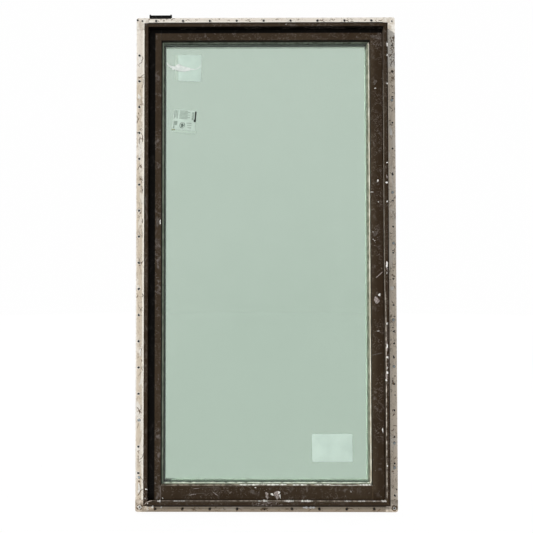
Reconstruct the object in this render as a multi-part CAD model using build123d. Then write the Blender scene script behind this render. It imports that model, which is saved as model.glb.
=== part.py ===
from build123d import *
import os

os.makedirs("parts", exist_ok=True)

# A fixed picture window: a wood frame and a fixed sash, both clad outside in painted aluminium,
# with insulated glass and a nailing fin on all four sides. Sizes are in millimetres.
# X runs to the right as seen from outside, Y runs into the wall and Z runs up.
# The origin lies on the rear face of the fins, at the middle of the bottom strip.

# Frame
frame_width = 902
frame_height = 1778
frame_front = 44  # the lip stands this far in front of the fins' rear face
frame_back = 116  # the jambs reach this far behind it
lip_width = 14.5
lip_step_width = 3.5
lip_step_depth = 2.5
cladding_wall = 1.8
recess_leg = 36  # how deep the cladding lines the recess round the sash
edge_radius = 0.8
jamb_thickness = 28
wood_inset = 2  # the jambs lie this far inside the cladding's outer face
wood_front = 28  # the jambs start this far behind the lip
wood_radius = 2
wood_clearance = 0.2

# Nailing fins
fin_width = 36
fin_thickness = 1.6
fin_root_width = 7
fin_root_thickness = 3.2
fin_root_slope = 1
fin_tongue = 8  # the part that is pushed into the kerf in the jamb
tongue_shoulder = 0.2  # the tongue is thinner than the fin by this much on each face
tongue_end_gap = 10
kerf_clearance = 0.2
nail_hole_radius = 3.2
nail_edge = 11  # from the fin's free edge to the centres of the holes
head_hole_pitch = 101.6
head_hole_margin = 35  # least distance from a corner of the frame to the first hole
head_hole_shift = -7  # the head and bottom fins' rows lie this far to the right of the middle
jamb_hole_pitch = 97.8
jamb_hole_margin = 100
right_hole_rise = 36.5  # the right fin's holes lie this much higher than the left fin's
pad_thickness = 1.2
pad_lap = 9
pad_radius = 8
crease_depth = 0.6
crease_width = 2.4

# Sash
sash_set_back = 23  # from the lip to the sash's face
sash_gap = 2
sash_depth = 57
stile_width = 44
top_rail_width = 40.5
bottom_rail_width = 50
sash_skin = 1.6
skin_outer_leg = 24
skin_inner_leg = 13
sash_seal_thickness = 2
sash_seal_width = 10
sash_seal_inset = 2
sash_seal_end_gap = 0.5

# Glass and glazing
bead_depth = 15
bead_front_drop = 0.5
bead_front_width = 0.8
bead_run = 3
bead_foot_height = 2
bead_hook = 1.7
tape_thickness = 1
seal_width = 5  # the strip of sealant that shows beside the bead
seal_height = 3
seal_edge = 0.6
glass_cover = 8  # how far the panes run behind the sash's face
glass_clearance = 3
pane_thickness = 3
cavity = 13
spacer_width = 10.5
spacer_reveal = 2.5  # the spacer shows this far past the sealant
spacer_chamfer = 1
spacer_wall = 1
stop_reveal = 2.5  # the inner stop shows this far past the spacer
stop_radius = 6
block_length = 100
block_end_gap = 0.5

# Bracket behind the head fin
bracket_length = 84
bracket_from_corner = 54  # from the frame's left side to the bracket's middle
bracket_rise = 10  # above the fin's free edge
bracket_plate = 2.5
bracket_foot = 40
bracket_gap = 0.2
bracket_bend = 3
lug_rise = 4
lug_width = 5
lug_depth = 12
anchor_hole_radius = 2.5
anchor_hole_spacing = 50

# How far cutting tools run past what they cut
cutter_margin = 1
cutter_length = 20

# Depths along Y, worked out from the sizes above
lip_y = -frame_front
recess_leg_y = lip_y + recess_leg
wood_front_y = lip_y + wood_front
sash_face_y = lip_y + sash_set_back
sash_back_y = sash_face_y + sash_depth
jamb_stop_y = sash_back_y + sash_seal_thickness
tape_y = sash_face_y + bead_depth
glass_y = tape_y + tape_thickness
cavity_y = glass_y + pane_thickness
inner_pane_y = cavity_y + cavity
glass_back_y = inner_pane_y + pane_thickness

sides = ["left", "head", "right", "sill"]
inward = {"left": (1, 0, 0), "head": (0, 0, -1), "right": (-1, 0, 0), "sill": (0, 0, 1)}


def shrunk(outline, by_side, by_end=None):
    # An outline is (left, right, bottom, top). The second distance is for its bottom and top.
    left, right, bottom, top = outline
    by_end = by_side if by_end is None else by_end
    return (left + by_side, right - by_side, bottom + by_end, top - by_end)


frame_outline = (-frame_width / 2, frame_width / 2, fin_width / 2, fin_width / 2 + frame_height)
wood_outline = shrunk(frame_outline, wood_inset)
sash_outline = shrunk(frame_outline, lip_width + sash_gap)
sight_outline = (
    sash_outline[0] + stile_width,
    sash_outline[1] - stile_width,
    sash_outline[2] + bottom_rail_width,
    sash_outline[3] - top_rail_width,
)
glass_outline = shrunk(sight_outline, -glass_cover)


def section(*points):
    # A cross-section. Each point is (distance inwards from the outline, depth along Y).
    return make_face(Polyline(*points, close=True))


def eased(face, corners, radius):
    # The section with its named corners rounded.
    near = [
        vertex
        for vertex in face.vertices()
        if any(abs(vertex.X - x) + abs(vertex.Y - y) < radius / 10 for x, y in corners)
    ]
    return fillet(near, radius)


def bar(outline, side, face, overrun=0):
    # A straight bar with square ends along one side of an outline.
    left, right, bottom, top = outline
    starts = {"left": (left, bottom), "head": (left, top), "right": (right, top), "sill": (right, bottom)}
    length = right - left if side in ("head", "sill") else top - bottom
    start_x, start_z = starts[side]
    along = Vector(*inward[side]).cross(Vector(0, 1, 0))
    start = Vector(start_x, 0, start_z) - along * overrun
    place = Plane(origin=start, x_dir=inward[side], z_dir=along)
    return extrude(place * face, amount=length + 2 * overrun)


def mitred(outline, side, face):
    # The same bar with both ends cut at 45 degrees through the outline's corners.
    left, right, bottom, top = outline
    box = face.bounding_box()
    reach = max(abs(box.min.X), abs(box.max.X)) + cutter_margin
    depth = max(abs(box.min.Y), abs(box.max.Y)) + cutter_margin
    ends = {
        "left": ((left, bottom), (left, top)),
        "head": ((left, top), (right, top)),
        "right": ((right, top), (right, bottom)),
        "sill": ((right, bottom), (left, bottom)),
    }
    (start_x, start_z), (end_x, end_z) = ends[side]
    start, end = Vector(start_x, 0, start_z), Vector(end_x, 0, end_z)
    into = Vector(*inward[side])
    along = into.cross(Vector(0, 1, 0))
    at_start, at_end = (into + along) * reach, (into - along) * reach
    wedge = make_face(Polyline(start - at_start, end - at_end, end + at_end, start + at_start, close=True))
    cutter = extrude(wedge, amount=depth, dir=(0, 1, 0), both=True)
    return bar(outline, side, face, reach) & cutter


def save(shape, node):
    export_step(shape, f"parts/{node}.step")


# Frame cladding: a channel that wraps the outer edge, the stepped lip and the recess
step_y = lip_y + lip_step_depth
outer_leg_y = -fin_thickness - kerf_clearance
cladding_section = eased(
    section(
        (0, outer_leg_y),
        (0, step_y),
        (lip_step_width, step_y),
        (lip_step_width, lip_y),
        (lip_width, lip_y),
        (lip_width, recess_leg_y),
        (lip_width - cladding_wall, recess_leg_y),
        (lip_width - cladding_wall, lip_y + cladding_wall),
        (lip_step_width + cladding_wall, lip_y + cladding_wall),
        (lip_step_width + cladding_wall, step_y + cladding_wall),
        (cladding_wall, step_y + cladding_wall),
        (cladding_wall, outer_leg_y),
    ),
    [(0, step_y), (lip_step_width, lip_y), (lip_width, lip_y)],
    edge_radius,
)
for side in sides:
    save(mitred(frame_outline, side, cladding_section), f"{side}_frame_cladding")


# Nailing fins: a flat strip with a thicker root, a tongue for the kerf and a row of holes
def fin_tongue_bar(side, spare=0):
    # The tongue, or with spare room round it, the kerf that takes it.
    front = -fin_thickness + tongue_shoulder - spare
    back = spare - tongue_shoulder
    end = fin_tongue + spare
    face = section((0, front), (end, front), (end, back), (0, back))
    return bar(frame_outline, side, face, spare - tongue_end_gap)


fin_section = section(
    (-fin_width, 0),
    (-fin_width, -fin_thickness),
    (-fin_root_width, -fin_thickness),
    (-fin_root_width + fin_root_slope, -fin_root_thickness),
    (0, -fin_root_thickness),
    (0, 0),
)


def hole_centres(side):
    # One row at a steady pitch, with as many holes as the margins leave room for. The rows in the head
    # and bottom fins lie a little to one side of the middle, and the right fin's lies a little high.
    left, right, bottom, top = shrunk(frame_outline, nail_edge - fin_width)
    if side in ("head", "sill"):
        level = top if side == "head" else bottom
        room = frame_width - 2 * (head_hole_margin + abs(head_hole_shift))
        steps = int(room / head_hole_pitch)
        return [(head_hole_shift + (i - steps / 2) * head_hole_pitch, level) for i in range(steps + 1)]
    across = left if side == "left" else right
    steps = int((frame_height - 2 * jamb_hole_margin) / jamb_hole_pitch)
    half_way = (bottom + top) / 2
    if side == "right":
        half_way += right_hole_rise
    return [(across, half_way + (i - steps / 2) * jamb_hole_pitch) for i in range(steps + 1)]


def drill(centres, radius):
    # Round cutters that run along Y through a plate at the fins' depth.
    return [Pos(x, 0, z) * Rot(90, 0, 0) * Cylinder(radius, cutter_length) for x, z in centres]


for side in sides:
    fin = bar(frame_outline, side, fin_section) + fin_tongue_bar(side)
    save(fin - drill(hole_centres(side), nail_hole_radius), f"{side}_nailing_fin")


# Corner pads: each fills the square between two fins and laps over their ends
def corner_pad(corner_x, corner_z, out_x, out_z):
    # The corner is the frame's. The last two values point away from the window.
    def plate(width, height, from_y, to_y):
        middle_x = corner_x + out_x * (fin_width - width / 2)
        middle_z = corner_z + out_z * (fin_width - height / 2)
        return Pos(middle_x, (from_y + to_y) / 2, middle_z) * Box(width, to_y - from_y, height)

    front = -fin_thickness - pad_thickness
    band = fin_width - fin_root_width
    long_side = fin_width + pad_lap
    pad = plate(fin_width, fin_width, -fin_thickness, 0)
    pad += plate(fin_width, fin_width, front, -fin_thickness)
    pad += plate(long_side, band, front, -fin_thickness) + plate(band, long_side, front, -fin_thickness)
    outer_x, outer_z = corner_x + out_x * fin_width, corner_z + out_z * fin_width
    outer_edges = [
        edge
        for edge in pad.edges().filter_by(Axis.Y)
        if abs(edge.center().X - outer_x) + abs(edge.center().Z - outer_z) < pad_thickness
    ]
    pad = fillet(outer_edges, pad_radius)
    crease_face = section((-crease_width / 2, front), (0, front + crease_depth), (crease_width / 2, front))
    across = Vector(out_x, 0, -out_z).normalized()
    along = across.cross(Vector(0, 1, 0))
    middle = Vector(corner_x + out_x * fin_width / 2, 0, corner_z + out_z * fin_width / 2)
    start = Plane(origin=middle - along * fin_width, x_dir=across, z_dir=along)
    return pad - extrude(start * crease_face, amount=2 * fin_width)


left, right, bottom, top = frame_outline
save(corner_pad(left, top, -1, 1), "top_left_corner_pad")
save(corner_pad(right, top, 1, 1), "top_right_corner_pad")
save(corner_pad(left, bottom, -1, -1), "bottom_left_corner_pad")
save(corner_pad(right, bottom, 1, -1), "bottom_right_corner_pad")

# Wood jambs, head and sill: stepped behind the sash, which closes against the step
lip_inner = lip_width - wood_inset
tongue_face = lip_width - cladding_wall - wood_clearance - wood_inset
jamb_section = eased(
    section(
        (0, wood_front_y),
        (tongue_face, wood_front_y),
        (tongue_face, recess_leg_y),
        (lip_inner, recess_leg_y),
        (lip_inner, jamb_stop_y),
        (jamb_thickness, jamb_stop_y),
        (jamb_thickness, frame_back),
        (0, frame_back),
    ),
    [(jamb_thickness, jamb_stop_y), (jamb_thickness, frame_back), (0, frame_back)],
    wood_radius,
)
jamb_envelope = section(
    (-wood_inset, lip_y),
    (lip_inner, lip_y),
    (lip_inner, jamb_stop_y),
    (jamb_thickness, jamb_stop_y),
    (jamb_thickness, frame_back),
    (-wood_inset, frame_back),
)
kerfs = [fin_tongue_bar(side, kerf_clearance) for side in sides]
jamb_room = [bar(wood_outline, side, jamb_envelope) for side in ("left", "right")]
for side in sides:
    if side in ("left", "right"):
        wood = bar(wood_outline, side, jamb_section)
    else:
        wood = bar(shrunk(wood_outline, lip_inner, 0), side, jamb_section) - jamb_room
    save(wood - kerfs, {"head": "head_wood", "sill": "sill_wood"}.get(side, f"{side}_jamb_wood"))

# Sash: stiles run the full height and rails butt between them, in wood with a clad face
rail_width = {
    "left": stile_width,
    "right": stile_width,
    "head": top_rail_width,
    "sill": bottom_rail_width,
}
sash_name = {"left": "left_stile", "right": "right_stile", "head": "top_rail", "sill": "bottom_rail"}
rebate = glass_cover + glass_clearance


def skin_section(width):
    # A channel over the outer edge, the face and the inner edge of a sash member.
    outer_y = sash_face_y + skin_outer_leg
    inner_y = sash_face_y + skin_inner_leg
    skin_y = sash_face_y + sash_skin
    face = section(
        (0, outer_y),
        (0, sash_face_y),
        (width, sash_face_y),
        (width, inner_y),
        (width - sash_skin, inner_y),
        (width - sash_skin, skin_y),
        (sash_skin, skin_y),
        (sash_skin, outer_y),
    )
    return eased(face, [(0, sash_face_y), (width, sash_face_y)], edge_radius)


def core_section(width):
    # The wood behind the skin, rebated on its inner edge for the glass.
    shy = sash_skin + wood_clearance
    outer_y = sash_face_y + skin_outer_leg + wood_clearance
    return section(
        (shy, sash_face_y + shy),
        (width - shy, sash_face_y + shy),
        (width - shy, tape_y),
        (width - rebate, tape_y),
        (width - rebate, sash_back_y),
        (0, sash_back_y),
        (0, outer_y),
        (shy, outer_y),
    )


stile_envelope = section(
    (0, sash_face_y),
    (stile_width, sash_face_y),
    (stile_width, tape_y),
    (stile_width - rebate, tape_y),
    (stile_width - rebate, sash_back_y),
    (0, sash_back_y),
)
stile_room = [bar(sash_outline, side, stile_envelope) for side in ("left", "right")]
for side in sides:
    width = rail_width[side]
    if side in ("left", "right"):
        skin = bar(sash_outline, side, skin_section(width))
        core = bar(sash_outline, side, core_section(width))
    else:
        skin = bar(shrunk(sash_outline, stile_width, 0), side, skin_section(width))
        core = bar(shrunk(sash_outline, stile_width - rebate, 0), side, core_section(width)) - stile_room
    save(skin, f"{sash_name[side]}_cladding")
    save(core, f"{sash_name[side]}_wood")

# Soft strips between the back of the sash and the step in the jambs
strip_outer = lip_inner + sash_gap + sash_seal_inset
strip_section = section(
    (strip_outer, sash_back_y),
    (strip_outer + sash_seal_width, sash_back_y),
    (strip_outer + sash_seal_width, jamb_stop_y),
    (strip_outer, jamb_stop_y),
)
strip_shortening = -strip_outer - sash_seal_width - sash_seal_end_gap
strips = [bar(wood_outline, side, strip_section, -strip_outer) for side in ("head", "sill")]
strips += [bar(wood_outline, side, strip_section, strip_shortening) for side in ("left", "right")]
save(Compound(children=strips), "sash_seal_strips")

# Glazing, all mitred round the sight line, which is the inner edge of the sash's face
bead_face = section(
    (0, sash_face_y + bead_front_drop),
    (bead_front_width, sash_face_y + bead_front_drop),
    (bead_run, tape_y - bead_foot_height),
    (bead_run, tape_y),
    (-bead_hook, tape_y),
    (-bead_hook, sash_face_y + skin_inner_leg),
    (0, sash_face_y + skin_inner_leg),
)
seal_face = section(
    (-glass_cover, tape_y),
    (bead_run, tape_y),
    (bead_run, glass_y - seal_height),
    (bead_run + seal_width, glass_y - seal_edge),
    (bead_run + seal_width, glass_y),
    (-glass_cover, glass_y),
)
spacer_inner = bead_run + seal_width + spacer_reveal
spacer_outer = spacer_inner - spacer_width
spacer_face = section(
    (spacer_outer, cavity_y),
    (spacer_inner - spacer_chamfer, cavity_y),
    (spacer_inner, cavity_y + spacer_chamfer),
    (spacer_inner, inner_pane_y - spacer_chamfer),
    (spacer_inner - spacer_chamfer, inner_pane_y),
    (spacer_outer, inner_pane_y),
) - section(
    (spacer_outer + spacer_wall, cavity_y + spacer_wall),
    (spacer_inner - spacer_wall, cavity_y + spacer_wall),
    (spacer_inner - spacer_wall, inner_pane_y - spacer_wall),
    (spacer_outer + spacer_wall, inner_pane_y - spacer_wall),
)
stop_inner = spacer_inner + stop_reveal
stop_face = eased(
    section(
        (-rebate, glass_back_y),
        (stop_inner, glass_back_y),
        (stop_inner, sash_back_y),
        (-rebate, sash_back_y),
    ),
    [(stop_inner, sash_back_y)],
    stop_radius,
)
for side in sides:
    edge = {"head": "top", "sill": "bottom"}.get(side, side)
    save(mitred(sight_outline, side, bead_face), f"{edge}_glazing_bead")
    save(mitred(sight_outline, side, seal_face), f"{edge}_glazing_seal")
    save(mitred(sight_outline, side, spacer_face), f"{edge}_spacer_bar")
    save(mitred(sight_outline, side, stop_face), f"{edge}_inner_stop")


def pane(front_y):
    left, right, bottom, top = glass_outline
    middle = Pos((left + right) / 2, front_y + pane_thickness / 2, (bottom + top) / 2)
    return middle * Box(right - left, pane_thickness, top - bottom)


save(pane(glass_y), "outer_pane")
save(pane(inner_pane_y), "inner_pane")

# Two setting blocks carry the glass on the floor of the bottom rail's rebate, at its quarter points
block_depth = glass_back_y - glass_y - 2 * block_end_gap
block_x = (glass_outline[1] - glass_outline[0]) / 4
block_z = glass_outline[2] - glass_clearance / 2
block = Box(block_length, block_depth, glass_clearance)
blocks = [Pos(x, (glass_y + glass_back_y) / 2, block_z) * block for x in (-block_x, block_x)]
save(Compound(children=blocks), "setting_blocks")


# Bracket: an angle screwed to the top of the head, upright behind the fin, with a lug at each end
def head_bracket():
    foot_z = wood_outline[3]
    plate_y = bracket_gap
    crest = frame_outline[3] + fin_width + bracket_rise
    middle_x = frame_outline[0] + bracket_from_corner
    face = eased(
        section(
            (plate_y, foot_z),
            (plate_y, crest),
            (plate_y + bracket_plate, crest),
            (plate_y + bracket_plate, foot_z + bracket_plate),
            (plate_y + bracket_foot, foot_z + bracket_plate),
            (plate_y + bracket_foot, foot_z),
        ),
        [(plate_y, foot_z)],
        bracket_bend,
    )
    start = Plane(origin=(middle_x - bracket_length / 2, 0, 0), x_dir=(0, 1, 0), z_dir=(1, 0, 0))
    angle = extrude(start * face, amount=bracket_length)
    lug_height = crest + lug_rise - foot_z
    lug = Box(lug_width, lug_depth, lug_height)
    for end in (-1, 1):
        lug_x = middle_x + end * (bracket_length - lug_width) / 2
        angle += Pos(lug_x, plate_y + lug_depth / 2, foot_z + lug_height / 2) * lug
    hole_y = plate_y + (bracket_foot + lug_depth) / 2
    for end in (-1, 1):
        hole_x = middle_x + end * anchor_hole_spacing / 2
        angle -= Pos(hole_x, hole_y, foot_z) * Cylinder(anchor_hole_radius, cutter_length)
    return angle


save(head_bracket(), "head_bracket")
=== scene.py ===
import bpy
import numpy as np
from mathutils import Matrix, Vector


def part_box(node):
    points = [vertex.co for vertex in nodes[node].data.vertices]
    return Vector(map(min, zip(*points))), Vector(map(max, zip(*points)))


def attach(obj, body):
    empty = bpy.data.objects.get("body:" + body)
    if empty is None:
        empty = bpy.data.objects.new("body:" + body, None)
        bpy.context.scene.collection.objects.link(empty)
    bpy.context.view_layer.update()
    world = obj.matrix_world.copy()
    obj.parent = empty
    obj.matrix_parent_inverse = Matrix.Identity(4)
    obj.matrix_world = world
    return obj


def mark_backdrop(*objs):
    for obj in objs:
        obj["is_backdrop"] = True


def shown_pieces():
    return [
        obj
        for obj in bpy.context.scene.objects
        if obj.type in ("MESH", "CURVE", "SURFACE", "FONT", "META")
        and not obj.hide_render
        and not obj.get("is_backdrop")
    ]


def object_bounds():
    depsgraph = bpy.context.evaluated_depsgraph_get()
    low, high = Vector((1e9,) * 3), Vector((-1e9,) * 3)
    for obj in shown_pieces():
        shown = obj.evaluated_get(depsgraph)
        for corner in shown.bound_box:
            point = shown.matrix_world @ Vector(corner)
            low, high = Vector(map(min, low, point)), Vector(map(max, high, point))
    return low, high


# Looks for a salvaged fixed picture window. The CAD nodes stay as they are and get weathered finishes,
# and fixings, temporary labels, sealant, splashes and dirt are added on them. Lengths are in metres.
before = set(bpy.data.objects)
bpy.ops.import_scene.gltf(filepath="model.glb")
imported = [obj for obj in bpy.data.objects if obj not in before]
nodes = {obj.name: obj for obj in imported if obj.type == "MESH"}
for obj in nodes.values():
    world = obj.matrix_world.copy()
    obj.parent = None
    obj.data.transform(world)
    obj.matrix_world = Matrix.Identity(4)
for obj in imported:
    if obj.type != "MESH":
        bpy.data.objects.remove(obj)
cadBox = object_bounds()
scene = bpy.context.scene
scene.view_settings.view_transform = "Standard"
print("frame loaded with", len(nodes), "nodes")

# Places read from the frame, so that everything added lies on what carries it
frameLow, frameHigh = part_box("left_frame_cladding")
lipFace = frameLow.y
frameLeft, frameRight = frameLow.x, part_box("right_frame_cladding")[1].x
frameBottom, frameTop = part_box("sill_frame_cladding")[0].z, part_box("head_frame_cladding")[1].z
lipWidth = frameHigh.x - frameLow.x
finFace = -0.0016
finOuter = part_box("sill_nailing_fin")[0].z
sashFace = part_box("left_stile_cladding")[0].y
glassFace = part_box("outer_pane")[0].y
finEdge = frameBottom - finOuter
outdoors, skyward = (0, -1, 0), (0, 0, 1)

# The camera, fitted to the photograph's 533 by 533 pixels. Angles are in degrees, and pixelWidth is the
# size of a pixel near the glass, in metres.
cameraValues = {
    "place": (-0.0759, -2.2634, 0.8401),
    "turn": -0.313,
    "tilt": 1.324,
    "roll": -0.053,
    "focalPixels": 604.5,
    "axisPixel": (242.4, 266.5),
    "photoPixels": 533,
    "pixelWidth": 0.00374,
    "sensor": 36,
}

def cameraAxes():
    # The directions ahead, to the right and up, from the turn, the tilt and the roll
    turn, tilt, roll = np.radians([cameraValues[key] for key in ("turn", "tilt", "roll")])
    ahead = np.array([np.sin(turn) * np.cos(tilt), np.cos(turn) * np.cos(tilt), np.sin(tilt)])
    level = np.array([np.cos(turn), -np.sin(turn), 0])
    upright = np.cross(level, ahead)
    right = np.cos(roll) * level + np.sin(roll) * upright
    return ahead, right, np.cos(roll) * upright - np.sin(roll) * level

def onPlane(pixels, depth):
    # Where the rays through pixels of the photograph meet the upright plane Y = depth
    ahead, right, up = cameraAxes()
    pixels = np.atleast_2d(np.asarray(pixels, float))
    aside = (pixels - cameraValues["axisPixel"]) / cameraValues["focalPixels"]
    rays = ahead + aside[:, :1] * right - aside[:, 1:2] * up
    eye = np.array(cameraValues["place"])
    return eye + rays * ((depth - eye[1]) / rays[:, 1:2])

def pixelAt(depth):
    # The size of one of the photograph's pixels on the plane Y = depth
    return (depth - cameraValues["place"][1]) / cameraValues["focalPixels"]

def pointsOf(x, y, z):
    # One array of points from arrays or single values
    return np.stack(np.broadcast_arrays(x, y, z), -1)

def sumOfWaves(rng, share, count, least, turns):
    # Sine waves along a stroke, added up: random heights from least to 1, random turns and starts
    total = 0 * share
    for _ in range(count):
        total = total + rng.uniform(least, 1) * np.sin(share * rng.uniform(*turns) + rng.uniform(0, 6))
    return total

def addCamera():
    data = bpy.data.cameras.new("photoCamera")
    size, focal = cameraValues["photoPixels"], cameraValues["focalPixels"]
    data.sensor_width = cameraValues["sensor"]
    data.lens = focal / size * cameraValues["sensor"]
    data.shift_x = 0.5 - cameraValues["axisPixel"][0] / size
    data.clip_start, data.clip_end = 0.05, 200
    camera = bpy.data.objects.new("photoCamera", data)
    ahead, right, up = cameraAxes()
    turned = Matrix(np.stack([right, up, -ahead], 1).tolist()).to_4x4()
    camera.matrix_world = Matrix.Translation(cameraValues["place"]) @ turned
    scene.collection.objects.link(camera)
    scene.camera = camera

addCamera()
print("camera placed")

# Meshes from whole arrays
def addMesh(name, points, quads, triangles, material, body="root", slot=None):
    mesh = bpy.data.meshes.new(name)
    mesh.from_pydata(points.reshape(-1, 3).tolist(), [], quads.tolist() + triangles.tolist())
    mesh.polygons.foreach_set("use_smooth", np.ones(len(mesh.polygons), bool))
    mesh.materials.append(material)
    mesh.update()
    piece = bpy.data.objects.new(name, mesh)
    scene.collection.objects.link(piece)
    if body:
        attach(piece, body)
    return piece

def ringFaces(count, rings, around):
    # Quads between neighbouring rings and triangles to a pole at each end, for count closed shells.
    # Each shell's points are its first pole, its rings in order, and its last pole.
    span = rings * around + 2
    start = np.arange(count)[:, None, None] * span + 1
    row = np.arange(rings - 1)[None, :, None] * around
    step = np.arange(around)[None, None, :]
    ahead = (step + 1) % around
    a, b = start + row + step, start + row + ahead
    quads = np.stack([a, a + around, b + around, b], -1).reshape(-1, 4)
    first, last = start[:, 0], start[:, 0] + (rings - 1) * around
    step, ahead = step[0], ahead[0]
    pole, end = first - 1, first + rings * around
    top = np.stack([pole + 0 * step, first + step, first + ahead], -1)
    foot = np.stack([end + 0 * step, last + ahead, last + step], -1)
    return quads, np.concatenate([top.reshape(-1, 3), foot.reshape(-1, 3)])

def roundedOutline(halfWide, halfHigh, radius, steps=8):
    # A rectangle with round corners: the centre of each corner's arc plus radius times (cos a, sin a)
    angle = np.linspace(0, np.pi / 2, steps)[None, :] + np.arange(4)[:, None] * np.pi / 2
    side = np.array([[1, 1], [-1, 1], [-1, -1], [1, -1]])[:, None, :]
    middle = side * np.array([halfWide - radius, halfHigh - radius])
    return (middle + radius * np.stack([np.cos(angle), np.sin(angle)], -1)).reshape(-1, 2)

def raggedOutline(count, halfWide, halfHigh, ragged, seed, steps=22):
    # An ellipse whose radius is 1 plus a few seeded cosines of the angle, one outline for each piece
    rng = np.random.default_rng(seed)
    angle = np.linspace(0, 2 * np.pi, steps, endpoint=False)
    waves = np.arange(2, 7)
    phase = rng.uniform(0, 2 * np.pi, (count, len(waves), 1))
    size = rng.uniform(0.4, 1, (count, len(waves), 1)) * ragged / waves[:, None] ** 0.7
    radius = 1 + (size * np.cos(waves[:, None] * angle + phase)).sum(1)
    circle = np.stack([np.cos(angle), np.sin(angle)], -1)
    half = np.stack(np.broadcast_arrays(halfWide, halfHigh), -1).reshape(-1, 1, 2)
    return radius[:, :, None] * circle * half

def addPlates(name, centres, across, along, outlines, profile, material, **more):
    # Closed plates and lumps. A ring is the outline times the profile's share, raised by its height
    # along across x along. The profile runs from the top's middle over the edge to the base's middle.
    centres = np.atleast_2d(centres)
    count = len(centres)
    across, along = (np.broadcast_to(np.asarray(v, float), (count, 3)) for v in (across, along))
    outlines = np.broadcast_to(outlines, (count,) + np.shape(outlines)[-2:])
    outward = np.cross(across, along)
    profile = np.asarray(profile, float)
    flat = outlines[..., :1] * across[:, None, :] + outlines[..., 1:] * along[:, None, :]
    lift = profile[None, :, None, 1:] * outward[:, None, None, :]
    rings = centres[:, None, None, :] + profile[None, :, None, :1] * flat[:, None] + lift
    inner, around = rings[:, 1:-1], flat.shape[1]
    poles = rings[:, [0, -1]].mean(2)
    points = np.concatenate([poles[:, :1], inner.reshape(count, -1, 3), poles[:, 1:]], 1)
    quads, triangles = ringFaces(count, inner.shape[1], around)
    return addMesh(name, points, quads, triangles, material, **more)

def addOnWall(name, centres, outlines, profile, material, **more):
    # Plates that lie upright and face outdoors
    return addPlates(name, centres, (1, 0, 0), skyward, outlines, profile, material, **more)

def addStrokes(name, paths, outward, halfWide, high, material, **more):
    # Closed strokes laid on a surface that faces outward. Each ring is half an ellipse over a flat
    # base, set across the path, and its width and height may change along it. The ends are closed.
    paths = np.asarray(paths, float)
    paths = paths[None] if paths.ndim == 2 else paths
    count, steps = paths.shape[:2]
    ahead = np.gradient(paths, axis=1)
    across = np.cross(np.broadcast_to(np.asarray(outward, float), paths.shape), ahead)
    across /= np.linalg.norm(across, axis=-1, keepdims=True)
    up = np.cross(ahead, across)
    up /= np.linalg.norm(up, axis=-1, keepdims=True)
    angle = np.linspace(np.pi, 0, 7)
    section = np.concatenate([np.stack([np.cos(angle), np.sin(angle)], -1), [[0.5, -0.15], [-0.5, -0.15]]])
    halfWide, high = (np.broadcast_to(v, (count, steps)) for v in (halfWide, high))
    rings = paths[:, :, None] + section[None, None, :, :1] * (across * halfWide[..., None])[:, :, None]
    rings = rings + section[None, None, :, 1:] * (up * high[..., None])[:, :, None]
    points = np.concatenate([paths[:, :1], rings.reshape(count, -1, 3), paths[:, -1:]], 1)
    quads, triangles = ringFaces(count, steps, len(section))
    return addMesh(name, points, quads, triangles, material, **more)

def smoothPath(points, steps):
    # A curve through the points: each coordinate is a cubic blend of its four nearest points
    points = np.asarray(points, float)
    padded = np.concatenate([2 * points[:1] - points[1:2], points, 2 * points[-1:] - points[-2:-1]])
    along = np.linspace(0, len(points) - 1 - 1e-6, steps)
    i = along.astype(int)
    t = (along - i)[:, None]
    a, b, c, d = (padded[i + k] for k in range(4))
    return b + 0.5 * t * (c - a + t * (2 * a - 5 * b + 4 * c - d + t * (3 * (b - c) + d - a)))

# Shader building
def put(tree, kind, inputs=None, **settings):
    node = tree.nodes.new(kind)
    for key, value in settings.items():
        setattr(node, key, value)
    for key, value in (inputs or {}).items():
        if isinstance(value, bpy.types.NodeSocket):
            tree.links.new(value, node.inputs[key])
        else:
            node.inputs[key].default_value = value
    return node

def calc(tree, operation, *terms, clamp=False):
    node = put(tree, "ShaderNodeMath", dict(enumerate(terms)), operation=operation, use_clamp=clamp)
    return node.outputs[0]

def times(tree, first, second):
    return calc(tree, "MULTIPLY", first, second)

def plus(tree, first, second):
    return calc(tree, "ADD", first, second)

def minus(tree, first, second, **settings):
    return calc(tree, "SUBTRACT", first, second, **settings)

def split(tree, vector):
    return put(tree, "ShaderNodeSeparateXYZ", {"Vector": vector}).outputs

def blend(tree, factor, first, second):
    node = put(tree, "ShaderNodeMix", data_type="RGBA")
    for index, value in ((0, factor), (6, first), (7, second)):
        if isinstance(value, bpy.types.NodeSocket):
            tree.links.new(value, node.inputs[index])
        else:
            node.inputs[index].default_value = value if index == 0 else (*value[:3], 1)
    return node.outputs[2]

def ramp(tree, value, low, high, start=0.0, end=1.0):
    inputs = {"Value": value, "From Min": low, "From Max": high, "To Min": start, "To Max": end}
    return put(tree, "ShaderNodeMapRange", inputs, interpolation_type="SMOOTHSTEP").outputs[0]

def here(tree, stretch=None, turn=(0, 0, 0), shift=(0, 0, 0)):
    # The place on the surface, in metres, with its pattern turned and stretched where asked
    spot = put(tree, "ShaderNodeTexCoord").outputs["Object"]
    if stretch is None:
        return spot
    inputs = {"Vector": spot, "Scale": stretch, "Rotation": turn, "Location": shift}
    return put(tree, "ShaderNodeMapping", inputs).outputs[0]

def noise(tree, spot, scale, detail=3.0, rough=0.55, distortion=0.0):
    inputs = {"Vector": spot, "Scale": scale, "Detail": detail, "Roughness": rough, "Distortion": distortion}
    return put(tree, "ShaderNodeTexNoise", inputs).outputs["Fac"]

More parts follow.
